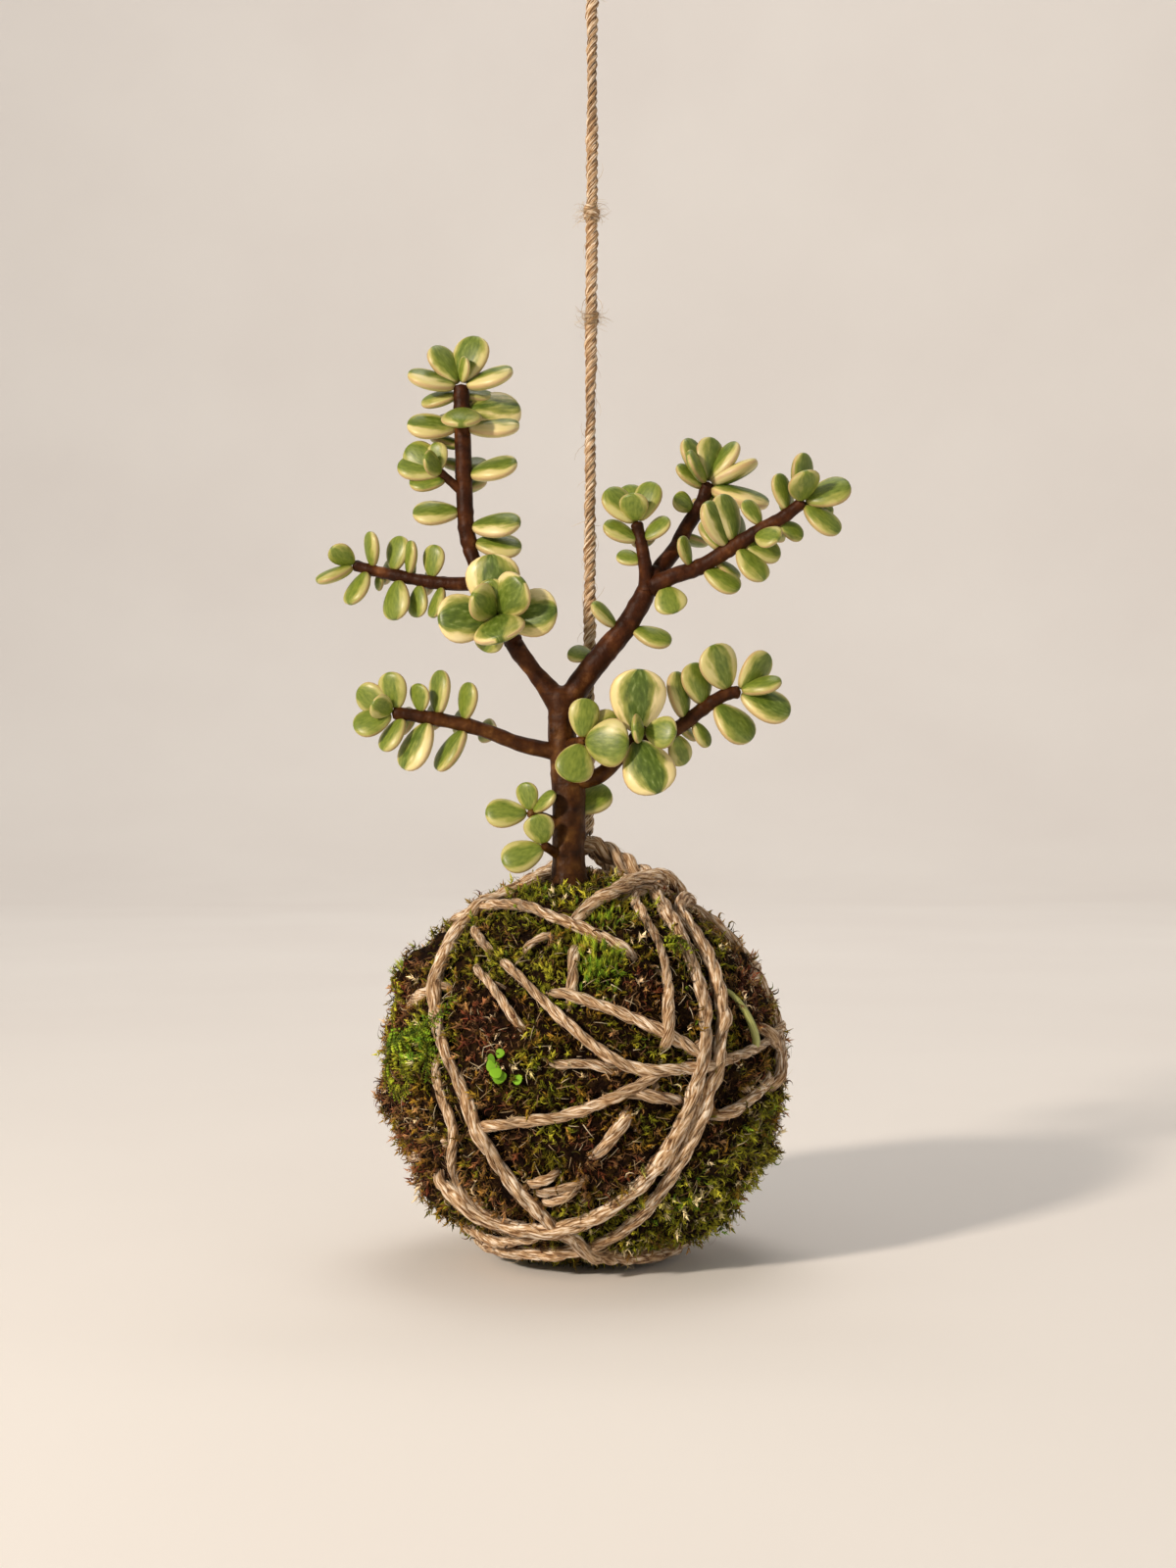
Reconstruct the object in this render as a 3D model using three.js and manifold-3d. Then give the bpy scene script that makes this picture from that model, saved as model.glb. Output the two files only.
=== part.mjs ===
// A kokedama: a small variegated elephant bush in a ball of soil and moss, bound with jute twine, on a jute
// cord. Millimetres. +Z is up, +Y runs to the back, and the origin is the centre of the flat spot that the
// ball rests on.
import * as THREE from "three";
import { mergeVertices } from "three/addons/utils/BufferGeometryUtils.js";
import Module from "manifold-3d";

const wasm = await Module();
wasm.setup();

// Driving dimensions of the ball
const BALL_CENTRE = new THREE.Vector3(0, 0, 45.6);
const MOSS_RADIUS = 47.2; // across, to the moss under the twine
const MOSS_HEIGHT = 47; // from the centre up or down
const MOSS_THICK = 6.5;
const MOSS_BULGE = 2.6; // how far the moss swells between the turns of twine
const BULGE_FROM = 5.5; // from a turn's middle, where the swelling starts
const BULGE_FULL = 12;
const BULGE_LOWEST = -40; // degrees below the middle of the ball, where the swelling has died out
const BULGE_FADE = 0.2; // of the ball's half height, over which it dies out
const LUMP_SHARE = 0.25; // how much of the swelling is uneven
const LUMP_WAVES = new THREE.Vector3(9, 8, 10); // lumps round the ball along x, y and z, in waves
const LUMP_PHASES = new THREE.Vector3(2, -1, 0);
const MOSS_SIDES = 34;
const MOSS_RINGS = 19;
const SOIL_SIDES = 20;
const SOIL_RINGS = 12;
const COLLAR = 1.4; // from the bark to the moss
const MOUTH_SIDES = 16;
const GAP = 0.3;

// Driving dimensions of the twine and the cord
const TWINE_WIDE = 3.9;
const TWINE_THICK = 2.6;
const TWINE_LIFT = 0.7; // clear of the moss under it
const TWINE_SIDES = 5;
const TWINE_STEPS = 26;
const TURN_SAMPLES = 72; // places on each turn that the moss is kept down by
const SLING_RADIUS = 1.9;
const SLING_STEPS = 6;
const TIE_KNOT = { middle: [0.9, 3, 99.6], half: [3.6, 3.2, 2.6] };
const CORD_THICK = 3;
const CORD_SIDES = 8;
const CORD_STEPS = 18;
const CORD_KNOT_HALF = [2.2, 2.1, 2.9];
const LOOP_KNOT_HALF = [3.2, 3.6, 3];
const LOOP_STEPS = 18;
const KNOT_SIDES = 8;
const KNOT_RINGS = 5;

// Driving dimensions of the plant
const LEAF_WIDE = 0.76; // the usual width, as a share of the length
const LEAF_FOOT_SHARE = 0.7; // the blade's width near its foot, as a share of a full oval's
const LEAF_TIP_SHARE = 1.2; // and near its tip
const LEAF_MIDDLE = 0.55; // how far along the blade it is thickest
const LEAF_THICK_SHARE = 0.2;
const LEAF_EDGE_SHARE = 0.56; // the edge's thickness as a share of the middle's
const LEAF_SUNK = 0.8; // how far below the tip of a stem its last leaves start
const LEAF_SIDES = 8;
const LEAF_POLE = 0.01; // a point of the blade this near its middle or its foot, as a share, is on it
const LARGE_LEAF = 12.4; // leaves of this length and over have a rounded edge of their own
const LEAF_CURL = 0.06; // how far the tip bends up, as a share of the length
const BEHIND_FIRST = 0.3; // where along a stem the leaves behind it start, as a share of its length
const BEHIND_LAST = 0.95;
const BEHIND_SWING = 55; // degrees to either side of straight back
const BEHIND_LEAN = 72; // degrees from the stem's direction
const BEHIND_SHORT = 8.4;
const BEHIND_LONG = 10.8;
const STEM_SIDES = 5;
const TRUNK_SIDES = 7;
const TRUNK_STEPS = 14;
const LIMB_STEPS = 10;
const TRUNK_SEED = 1;
const LIMB_SEED = 2;
const SHOOT_SEED = 3; // the first shoot's, and the others follow
const SPRIG_SEED = 40; // added to its shoot's
const STEM_STRIDE = 29; // between the seeds of one stem's leaves and the next one's
const LEAF_STRIDE = 7; // between one leaf's seed and the next one's
const LENGTH_STRIDE = 91; // from a leaf's first draw to the seed of its length

const { degToRad: deg, lerp, clamp, smoothstep } = THREE.MathUtils;
const NUDGE = 0.002; // the share of a closed curve that its direction is measured over
const vec = (x, y, z) => new THREE.Vector3(x, y, z);
const FRONT = vec(0, -1, 0);

function curveThrough(points, closed = false) {
  return new THREE.CatmullRomCurve3(
    points.map((p) => vec(...p)),
    closed,
  );
}

// A knot: an oval bead, given its middle and half of its size each way.
function bead([x, y, z], half) {
  return new THREE.SphereGeometry(1, KNOT_SIDES, KNOT_RINGS).scale(...half).translate(x, y, z);
}

// A closed solid of a three.js geometry, with its shared vertices merged.
function solid(geometry) {
  const bare = geometry.clone();
  bare.deleteAttribute("normal");
  bare.deleteAttribute("uv");
  const merged = mergeVertices(bare, 1e-4);
  return new wasm.Manifold(
    new wasm.Mesh({
      numProp: 3,
      vertProperties: merged.attributes.position.array,
      triVerts: new Uint32Array(merged.index.array),
    }),
  );
}

// All the solids joined, without the loose scraps that a cut leaves.
function joined(solids) {
  const whole = solids.reduce((sum, next) => sum.add(next));
  return whole.decompose().reduce((best, body) => (body.volume() > best.volume() ? body : best));
}

function geometryOf(body) {
  const mesh = body.getMesh();
  return new THREE.BufferGeometry()
    .setAttribute("position", new THREE.BufferAttribute(mesh.vertProperties, 3))
    .setIndex(new THREE.BufferAttribute(mesh.triVerts, 1));
}

// Moves every vertex of a geometry by a rule that gets the vertex and its number.
function reshape(geometry, rule) {
  const places = geometry.attributes.position;
  const point = new THREE.Vector3();
  for (let i = 0; i < places.count; i++) {
    point.fromBufferAttribute(places, i);
    const moved = rule(point, i);
    places.setXYZ(i, moved.x, moved.y, moved.z);
  }
  return geometry;
}

// A number from 0 to 1 that is always the same for the same seed.
function seeded(seed) {
  const value = Math.sin(seed * 12.9898) * 43758.5453;
  return value - Math.floor(value);
}

// A round limb along a curve, as thick at each of the curve's points as its list of radii says.
function limb(points, radii, sides, steps, grow = 0) {
  const curve = curveThrough(points);
  const frames = curve.computeFrenetFrames(steps, false);
  const back = vec(0, 1, 0);
  return reshape(new THREE.CylinderGeometry(1, 1, 1, sides, steps), (v) => {
    const along = clamp(v.y + 0.5, 0, 1);
    const step = Math.round(along * steps);
    const place = along * (points.length - 1);
    const before = Math.min(Math.floor(place), points.length - 2);
    const radius = lerp(radii[before], radii[before + 1], place - before) + grow;
    const tangent = frames.tangents[step];
    const side = back.clone().cross(tangent).normalize();
    const front = side.clone().cross(tangent);
    const middle = curve.getPoint(along);
    if (step === 0) middle.addScaledVector(tangent, -grow);
    if (step === steps) middle.addScaledVector(tangent, grow);
    return middle.addScaledVector(side, v.x * radius).addScaledVector(front, v.z * radius);
  });
}

// One thick leaf: narrow at its foot, round at its tip. Its foot is at the origin, it runs along +X, faces
// +Z, and its width is a share of its length.
function leaf(length, wide) {
  const bands = length < LARGE_LEAF ? 2 : 3;
  const ring = Math.sin(Math.PI / bands);
  return reshape(new THREE.SphereGeometry(1, LEAF_SIDES, bands), (v) => {
    const rim = Math.hypot(v.x, v.z) > LEAF_POLE;
    const along = rim ? (1 - v.x / ring) / 2 : LEAF_MIDDLE;
    const spread = rim ? (v.z / ring) * lerp(LEAF_FOOT_SHARE, LEAF_TIP_SHARE, along) : 0;
    const edge = bands === 2 || along < LEAF_POLE ? 0 : LEAF_EDGE_SHARE;
    const thick = (Math.sign(v.y) * (rim ? edge : 1) * LEAF_THICK_SHARE) / 2;
    return vec(along, (spread * wide) / 2, thick + LEAF_CURL * along * along).multiplyScalar(length);
  });
}

// The direction nearest to the wanted one that is square to an axis.
function squareTo(axis, wanted) {
  return wanted.clone().addScaledVector(axis, -wanted.dot(axis)).normalize();
}

// A leaf from its foot, in the middle of its stem, along an axis, with its upper face turned to a side.
function leafAt(foot, axis, face, length, wide) {
  const place = new THREE.Matrix4().makeBasis(axis, face.clone().cross(axis), face);
  return leaf(length, wide).applyMatrix4(place.setPosition(foot));
}

// All the leaves of one stem. Each one that can be seen from the front has its tip at a place of its own.
// The ones behind the stem grow by a rule, with seeded draws.
function leaves({ points, leaves: seen, behind = 0 }, seed) {
  const curve = curveThrough(points);
  const last = 1 - LEAF_SUNK / curve.getLength();
  const grown = seen.map(([at, x, y, z, turned, wide = LEAF_WIDE]) => {
    const place = Math.min(at, last);
    const foot = curve.getPointAt(place);
    const reach = vec(x, y, z).sub(foot);
    const axis = reach.clone().normalize();
    const face = squareTo(axis, curve.getTangentAt(place)).multiplyScalar(Math.sin(deg(turned)));
    face.addScaledVector(squareTo(axis, FRONT), Math.cos(deg(turned))).normalize();
    return leafAt(foot, axis, face, reach.length(), wide);
  });
  for (let number = 0; number < behind; number++) {
    const draw = seeded(seed * STEM_STRIDE + number * LEAF_STRIDE);
    const at = lerp(BEHIND_FIRST, BEHIND_LAST, (number + 0.5) / behind);
    const direction = curve.getTangentAt(at);
    const back = squareTo(direction, FRONT).negate();
    const swing = deg(lerp(-BEHIND_SWING, BEHIND_SWING, draw));
    const axis = back.clone().multiplyScalar(Math.cos(swing));
    axis.addScaledVector(direction.clone().cross(back), Math.sin(swing));
    axis.multiplyScalar(Math.sin(deg(BEHIND_LEAN))).addScaledVector(direction, Math.cos(deg(BEHIND_LEAN)));
    const length = lerp(BEHIND_SHORT, BEHIND_LONG, seeded(draw * LENGTH_STRIDE));
    grown.push(leafAt(curve.getPointAt(at), axis, squareTo(axis, direction), length, LEAF_WIDE));
  }
  return grown;
}

// The trunk and its two main limbs: points in millimetres, a radius for each, and the leaves that can be
// seen from the front. A leaf is its foot, as a share of the stem's length, its tip's place in millimetres,
// how far its upper face is turned from the front towards the stem's tip, in degrees, and its width as a
// share of its length where that isn't the usual one.
const TRUNK = {
  points: [[-3.6, -5, 70], [-3.8, -6, 90], [-4.1, -6, 101], [-3.9, -6, 114], [-5.6, -6, 128],
    [-5.6, -6, 137]],
  radii: [2.6, 4.4, 4.1, 4.2, 3.5, 3.3],
  leaves: [[0.556, 5.6, -1, 114.4, 20, 0.8]],
};
const LEFT_LIMB = {
  points: [[-5, -6, 132], [-8.4, -6, 138], [-12.4, -6, 143], [-17, -6, 149.5], [-21.4, -4.5, 157.5],
    [-25.6, -3, 166], [-28, -2, 172.5]],
  radii: [2.9, 2.6, 2.3, 2.2, 2.1, 2, 1.9],
};
const RIGHT_LIMB = {
  points: [[-5, -6, 133], [-1.7, -6.5, 139.5], [4, -7, 146.8], [10.2, -7.5, 154.4], [13.8, -7.5, 160.6],
    [16.8, -7.5, 166.5]],
  radii: [3.2, 3, 2.9, 2.8, 2.6, 2.4],
  leaves: [[0.6, 1.3, -10, 159, 54, 0.72], [0.64, 20.6, -9, 149.2, 48], [0.4, -4.1, -4, 147.6, 36, 0.9]],
};

// The leafy shoots: a stem's points, its radius at both ends, its leaves as above, and the number behind it
const SHOOTS = {
  left_top_shoot: {
    points: [[-28, -2, 172.5], [-29.1, -2, 178.6], [-29.8, -2, 195], [-30.4, -2, 213.6]],
    radii: [2.1, 1.9],
    leaves: [[1, -26.4, 0, 225.4, 40, 0.86], [1, -37.6, 0, 222.8, 50], [1, -28.6, -6, 219.4, 40, 0.8],
      [0.99, -43.5, -3, 215.2, 58], [0.99, -17.4, -4, 215.9, 58], [0.94, -40, 2.5, 209.4, 55],
      [0.93, -23, 5, 211.6, 60], [0.86, -29.7, -12, 201.4, 70, 0.95], [0.83, -16.2, 3, 207.8, 35, 0.9],
      [0.74, -43.6, -2, 203, 44], [0.74, -16, -3, 202.4, 60], [0.45, -16.4, -3, 193.6, 52],
      [0.48, -25.6, 5.5, 195.8, 60], [0.24, -42.2, -2, 181.4, 44], [0.15, -15.6, -5.5, 178.4, 50],
      [0.06, -15.6, -2, 172.8, 46]],
    behind: 5,
    sprig: {
      points: [[-29.6, -2, 187], [-32.6, -3, 189.4], [-35.8, -4.5, 192.2]],
      radii: [1.2, 0.9],
      leaves: [[0.85, -43.6, -1, 198, 50], [0.9, -36.4, -3.6, 199, 35, 0.84],
        [0.85, -39.1, -10, 194.6, 40, 0.86], [0.82, -45.8, -2, 193.4, 72, 0.7],
        [0.6, -42.9, -3, 188.8, 60]],
    },
  },
  left_side_shoot: {
    points: [[-25, -3, 165], [-30, -3, 164.6], [-37.5, -2, 165.1], [-44, -1, 166.4], [-52.3, 0, 168.2],
      [-57.2, 0.5, 169.7]],
    radii: [1.75, 1.3],
    leaves: [[0.39, -36.3, -2.6, 174.2, 30, 0.8], [0.56, -41.9, -3, 175.2, 55, 0.7],
      [0.68, -45.2, 1, 176.6, 35, 0.8], [0.84, -52, -2, 177.6, 50, 0.72], [0.97, -62, -4, 173.6, 25, 0.8],
      [0.98, -65.4, -3, 164.6, 52, 0.74], [0.88, -57, -4, 159.2, 44, 0.78],
      [0.76, -51.4, 5, 164.4, 50, 0.7], [0.64, -46, -3, 155.6, 36, 0.82],
      [0.47, -41, -1.5, 156.4, 40, 0.84], [0.3, -36.6, -5, 156, 50, 0.76]],
    behind: 4,
  },
  front_left_shoot: {
    points: [[-17.6, -6, 150.6], [-19.6, -10.5, 153.8], [-21.3, -15, 156.2]],
    radii: [1.7, 1.2],
    leaves: [[0.96, -22.6, -14, 170.6, 20, 0.95], [0.9, -35.2, -17, 154.6, 28, 0.9],
      [0.85, -6.4, -16.5, 157, 40, 0.88], [0.95, -19.4, -26, 148.8, 40, 1],
      [1, -26.8, -23, 160.6, 40, 0.86], [1, -14.2, -22, 164, 40, 0.88], [1, -22.2, -18, 164.6, 35, 0.86],
      [0.8, -24.2, -13, 147.4, 30, 0.95]],
  },
  lower_left_shoot: {
    points: [[-6, -6.3, 123.3], [-15.7, -7, 125.4], [-23.3, -8, 128.3], [-28.7, -8.5, 129.9],
      [-38.1, -9, 131.8], [-46.7, -9, 133]],
    radii: [2.05, 1.5],
    leaves: [[0.58, -27.3, -9.5, 140.2, 50], [0.73, -34.6, -7, 143.2, 50, 0.68],
      [0.83, -39.7, -11, 140, 36, 0.86], [0.96, -47, -10, 142.8, 25, 0.84],
      [0.99, -55, -6, 138.6, 40, 0.8], [1, -51.2, -14, 135.2, 12, 0.95],
      [0.98, -55.6, -10, 128.6, 32, 0.84], [0.92, -48.4, -10, 123.4, 45, 0.76],
      [0.77, -43, -9.5, 118.8, 45, 0.78], [0.56, -35.2, -8.5, 118.6, 60, 0.7]],
    behind: 4,
  },
  lower_right_shoot: {
    points: [[-2.5, -6.5, 116.2], [3.5, -9, 117.8], [10.9, -10, 124.4], [22.3, -9, 129.2],
      [28, -8, 133.5], [34.5, -7, 137.6], [37.8, -7, 138]],
    radii: [2, 1.5],
    leaves: [[0.66, 21.2, -8, 142.8, 50, 0.74], [0.78, 25.8, -7, 145, 34, 0.9],
      [0.94, 30.2, -9, 149.2, 26, 0.94], [1, 44.2, -5, 147.6, 44, 0.76], [1, 47.2, -10, 141, 75, 0.7],
      [0.98, 49.4, -7, 132, 40, 0.8], [0.84, 39.8, -8, 125.8, 38, 0.88], [0.7, 29.8, -6, 124.8, 40, 0.72],
      [0.58, 24, -5, 120.6, 25, 0.82]],
    behind: 3,
  },
  lower_right_front_shoot: {
    points: [[10.4, -9.8, 123.6], [12.2, -15, 127.4], [14, -20, 128.6]],
    radii: [1.5, 1.1],
    growsFrom: "lower_right_shoot",
    leaves: [[0.5, 12.9, -18, 143.2, 15, 0.88], [0.45, 17.4, -18, 113.2, 20, 0.9],
      [1, 11, -27, 128.8, 50, 0.95], [1, 21.6, -24, 127.4, 36, 0.95]],
  },
  trunk_front_shoot: {
    points: [[-4.4, -7, 125], [-1.6, -12, 125.8], [-0.4, -15.6, 126]],
    radii: [1.5, 1.1],
    leaves: [[0.9, 0, -14, 136.2, 22, 0.8], [1, 10.6, -19, 125.2, 20, 1.05],
      [0.9, -3.7, -17, 116.2, 20, 0.98], [0.8, 8, -11, 131.8, 55]],
  },
  upper_sprig: {
    points: [[-5, -6.5, 105.6], [-11.4, -9, 108.1], [-14, -10, 108.8]],
    radii: [1.4, 1],
    leaves: [[0.9, -14.3, -10, 116.2, 30, 0.84], [0.88, -6.9, -12.5, 113.4, 80, 0.62],
      [0.96, -24.1, -10, 108.4, 62, 0.76]],
  },
  lower_sprig: {
    points: [[-5, -6.5, 97.6], [-8.5, -10.5, 100], [-10.2, -13, 101.2]],
    radii: [1.4, 1],
    leaves: [[0.84, -12, -13.5, 108.4, 10, 1], [0.8, -19.9, -13, 96.6, 54, 0.78]],
  },
  right_top_shoot: {
    points: [[16.8, -7.5, 166.5], [22, -4.4, 173], [24.8, -2.4, 178.5], [28.4, -0.6, 184.3],
      [30.3, 0.2, 190]],
    radii: [2.2, 1.5],
    leaves: [[1, 24.2, 1, 200.4, 50], [0.99, 24.5, -5.5, 196, 50, 0.84], [1, 30.8, 3, 201.1, 50],
      [1, 37.8, 1, 199.4, 58], [0.99, 42.6, -1, 194.2, 78, 0.68], [0.92, 22.3, 0, 193.7, 50],
      [0.7, 21.6, -3, 186, 20, 0.95], [0.95, 44.8, -1, 183.4, 62], [0.78, 34.4, 5, 189, 50]],
    behind: 2,
  },
  right_small_shoot: {
    points: [[15, -8.2, 163.2], [14.3, -10.2, 169.6], [12.8, -10, 177], [12.3, -10.4, 179]],
    radii: [1.7, 1.4],
    leaves: [[0.94, 5, -9, 186.6, 45], [1, 11.3, -14.6, 185.4, 25, 0.95], [0.97, 16.8, -9, 188.4, 45],
      [0.95, 10.4, -5.5, 188, 60], [0.68, 4.3, -10, 178, 42], [0.68, 20.4, -10, 179.5, 42],
      [0.36, 7.9, -7, 171.2, 45]],
    behind: 1,
  },
  right_far_shoot: {
    points: [[16.2, -8.6, 163.4], [21, -10.6, 165.7], [27.2, -11, 167.8], [34.7, -13, 172.1],
      [42.2, -15, 176.6], [47, -16, 179.2], [52.2, -17, 183]],
    radii: [2.1, 1.4],
    leaves: [[0.06, 21.8, -12.4, 156.6, 8, 1.08], [0.25, 22.5, -14, 174.8, 55, 0.72],
      [0.49, 27.9, -17, 182.5, 55, 0.72], [0.53, 32.1, -13, 185, 45], [0.45, 29.2, -6, 179, 50],
      [0.72, 38, -13.5, 183.4, 40], [0.66, 46, -21.6, 173.2, 20, 0.8], [0.88, 45.6, -16, 189.6, 48, 0.7],
      [0.97, 51.4, -17, 194.5, 55, 0.68], [1, 51.4, -24.4, 189.4, 20, 0.9], [1, 63.2, -17, 186.4, 50],
      [0.98, 60, -18, 174.8, 46, 0.76], [0.97, 59.2, -12.5, 181.2, 60, 0.7], [0.8, 52, -13, 174.8, 40],
      [0.54, 42.4, -16, 163.8, 40], [0.57, 46.8, -10.5, 170.6, 45], [0.3, 36.9, -12, 162, 42]],
    behind: 4,
  },
};

// The turns of twine round the ball, as directions from its centre: degrees to the right of the front,
// degrees up
const TURNS = {
  left_bold: [[-99, 80], [-67, 50], [-51, 22], [-36, 1], [-25, -20], [-13, -38], [12, -56], [75, -60],
    [125, -38], [146, 0], [152, 38], [165, 68]],
  right_bold: [[45, 56], [39, 26], [32, 5], [25, -13], [13, -29], [-3, -39], [-28, -41], [-48, -32],
    [-78, -8], [-112, 18], [-150, 40], [155, 62], [84, 72]],
  right_second: [[60, 57], [46, 26], [37, 3], [29, -16], [20, -36], [4, -50], [-40, -57], [-115, -50],
    [-150, -22], [-168, 8], [-178, 38], [140, 52], [94, 58]],
  front_arch: [[-35, 59], [-13, 54], [9, 45], [30, 34], [62, 16], [100, -6], [140, -20], [-178, -16],
    [-140, 10], [-100, 40], [-64, 58]],
  diagonal: [[-42, 43], [-19, 31], [-4, 19], [12, 8], [32, 7], [50, 9], [73, 12], [112, 16], [155, 22],
    [-165, 34], [-118, 48], [-72, 52]],
  low_cross: [[-52, -18], [-28, -9], [-6, -5], [14, 3], [40, 16], [72, 28], [112, 32], [158, 18],
    [-160, -6], [-118, -24], [-82, -26]],
  upper_cross: [[-46, 30], [-20, 30], [-3, 27], [12, 22], [31, 12], [56, -3], [92, -18], [136, -32],
    [-172, -30], [-124, -8], [-82, 16]],
  inner_right: [[30, 60], [29, 41], [25, 23], [20, 4], [12, -16], [-8, -38], [-48, -52], [-86, -40],
    [-114, -14], [-126, 16], [-134, 50], [-170, 74], [70, 76]],
};

// The cord's route, straight up with a slight bow, and the middles of its knots
const CORD_FOOT = [0.9, 3, 102.6];
const CORD_TOP = [1.7, 3, 313];
const CORD_ROUTE = [CORD_FOOT, [1.3, 3, 205], [1.7, 3, 260], CORD_TOP];
const CORD_KNOTS = [[1.6, 3, 230.8], [1.6, 3, 256.7]];

// The loop at the cord's end: points to the right of the cord's top and above it. Its left side mirrors
// them.
const LOOP_HALF = [[0, 5], [3.2, 10], [6.6, 17], [6, 24], [0, 27.5]];
const LOOP_MIDDLE = 17; // above the cord's top
const LOOP_KNOT_LIFT = GAP + LOOP_KNOT_HALF[2] + 0.6;

// The strands that run from the cord's foot down to the turns
const SLING_LEGS = [
  [[0.9, 3, 100.4], [5.6, 2.4, 98.4], [10.6, 0.4, 95], [14.6, -1.6, 92.8]],
  [[0.9, 3, 100.4], [2.4, 7, 98.6], [5.6, 13.4, 94.6], [8.4, 18.4, 91]],
  [[0.9, 3, 100.4], [-2, 6.4, 98.8], [-6.8, 10.4, 95.6], [-11.6, 13.6, 92.2]],
];

// A direction from the ball's centre, given as degrees to the right of the front and degrees up
function directionAt(right, up) {
  const level = Math.cos(deg(up));
  return vec(Math.sin(deg(right)) * level, -Math.cos(deg(right)) * level, Math.sin(deg(up)));
}

// The moss's surface in a direction, lifted by some millimetres.
function onMoss(direction, lift) {
  const point = vec(direction.x * MOSS_RADIUS, direction.y * MOSS_RADIUS, direction.z * MOSS_HEIGHT);
  return point.addScaledVector(direction, lift).add(BALL_CENTRE);
}

// A closed ring with an oval section round a closed curve: flat towards the middle that it runs round.
function ringAlong(placeAt, middle, wide, thick, sides, steps) {
  const ring = new THREE.TorusGeometry(1, 0.1, sides, steps);
  return reshape(ring, (v, i) => {
    const step = i % (steps + 1);
    const round = (Math.floor(i / (steps + 1)) / sides) * 2 * Math.PI;
    const at = (step % steps) / steps;
    const centre = placeAt(at);
    const tangent = placeAt((at + NUDGE) % 1).sub(placeAt((at + 1 - NUDGE) % 1)).normalize();
    const out = centre.clone().sub(middle).normalize();
    out.addScaledVector(tangent, -out.dot(tangent)).normalize();
    const side = out.clone().cross(tangent);
    return centre
      .addScaledVector(out, (Math.cos(round) * thick) / 2)
      .addScaledVector(side, (Math.sin(round) * wide) / 2);
  });
}

// Each turn as a rule from 0 to 1 to a place on the ball.
const turnRules = Object.values(TURNS).map((corners) => {
  const curve = new THREE.CatmullRomCurve3(
    corners.map(([right, up]) => directionAt(right, up)),
    true,
  );
  return (at) => onMoss(curve.getPoint(at).normalize(), TWINE_LIFT + TWINE_THICK / 2);
});

function bindingTwine() {
  const turns = turnRules.map((rule) =>
    solid(ringAlong(rule, BALL_CENTRE, TWINE_WIDE, TWINE_THICK, TWINE_SIDES, TWINE_STEPS)),
  );
  const legRadii = SLING_LEGS[0].map(() => SLING_RADIUS);
  const legs = SLING_LEGS.map((points) => solid(limb(points, legRadii, TWINE_SIDES, SLING_STEPS)));
  return joined([...turns, ...legs, solid(bead(TIE_KNOT.middle, TIE_KNOT.half))]);
}

// The moss swells where no twine presses it down, with small lumps of its own.
const turnPlaces = turnRules.flatMap((rule) =>
  Array.from({ length: TURN_SAMPLES }, (_, i) => rule(i / TURN_SAMPLES)),
);
function mossSwell(direction) {
  const place = onMoss(direction, 0);
  const nearest = Math.min(...turnPlaces.map((p) => p.distanceTo(place)));
  const free = smoothstep(nearest, BULGE_FROM, BULGE_FULL);
  const lowest = Math.sin(deg(BULGE_LOWEST));
  const high = smoothstep(direction.z, lowest - BULGE_FADE, lowest);
  const wave = direction.clone().multiply(LUMP_WAVES).add(LUMP_PHASES);
  const lump = Math.sin(wave.x) * Math.sin(wave.y) * Math.sin(wave.z);
  return MOSS_BULGE * free * high * (1 - LUMP_SHARE + LUMP_SHARE * lump);
}

// A closed ball whose surface is lifted off the moss under the twine by a rule.
function skin(sides, rings, lift) {
  const ball = new THREE.SphereGeometry(1, sides, rings).rotateX(Math.PI / 2);
  return solid(
    reshape(ball, (v) => {
      const direction = v.clone().normalize();
      return onMoss(direction, lift(direction));
    }),
  );
}

// The moss is hollow, cut flat where it rests, and open at the top round the trunk.
function mossShell() {
  const inside = skin(SOIL_SIDES, SOIL_RINGS, () => -MOSS_THICK);
  const across = 3 * MOSS_RADIUS;
  const floor = new THREE.BoxGeometry(across, across, MOSS_RADIUS).translate(0, 0, -MOSS_RADIUS / 2);
  const [x, y] = TRUNK.points[1];
  const wide = TRUNK.radii[1] + COLLAR;
  const mouth = new THREE.CylinderGeometry(wide, wide, MOSS_RADIUS, MOUTH_SIDES).rotateX(Math.PI / 2);
  mouth.translate(x, y, BALL_CENTRE.z + MOSS_HEIGHT);
  const moss = skin(MOSS_SIDES, MOSS_RINGS, mossSwell);
  return joined([moss.subtract(inside).subtract(solid(mouth)).subtract(solid(floor))]);
}

function soilCore() {
  const ball = skin(SOIL_SIDES, SOIL_RINGS, () => -MOSS_THICK - GAP);
  const hole = limb(TRUNK.points, TRUNK.radii, TRUNK_SIDES, TRUNK_STEPS, GAP);
  return joined([ball.subtract(solid(hole))]);
}

const trunkLimbs = (grow) => [
  limb(TRUNK.points, TRUNK.radii, TRUNK_SIDES, TRUNK_STEPS, grow),
  limb(LEFT_LIMB.points, LEFT_LIMB.radii, TRUNK_SIDES, LIMB_STEPS, grow),
  limb(RIGHT_LIMB.points, RIGHT_LIMB.radii, TRUNK_SIDES, LIMB_STEPS, grow),
];

function trunk() {
  const low = leaves(TRUNK, TRUNK_SEED);
  const high = leaves(RIGHT_LIMB, LIMB_SEED);
  return joined([...trunkLimbs(0), ...low, ...high].map(solid));
}

function stemOf({ points, radii: [foot, tip] }, grow = 0) {
  const radii = points.map((_, i) => foot + ((tip - foot) * i) / (points.length - 1));
  return limb(points, radii, STEM_SIDES, points.length + 2, grow);
}

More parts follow.
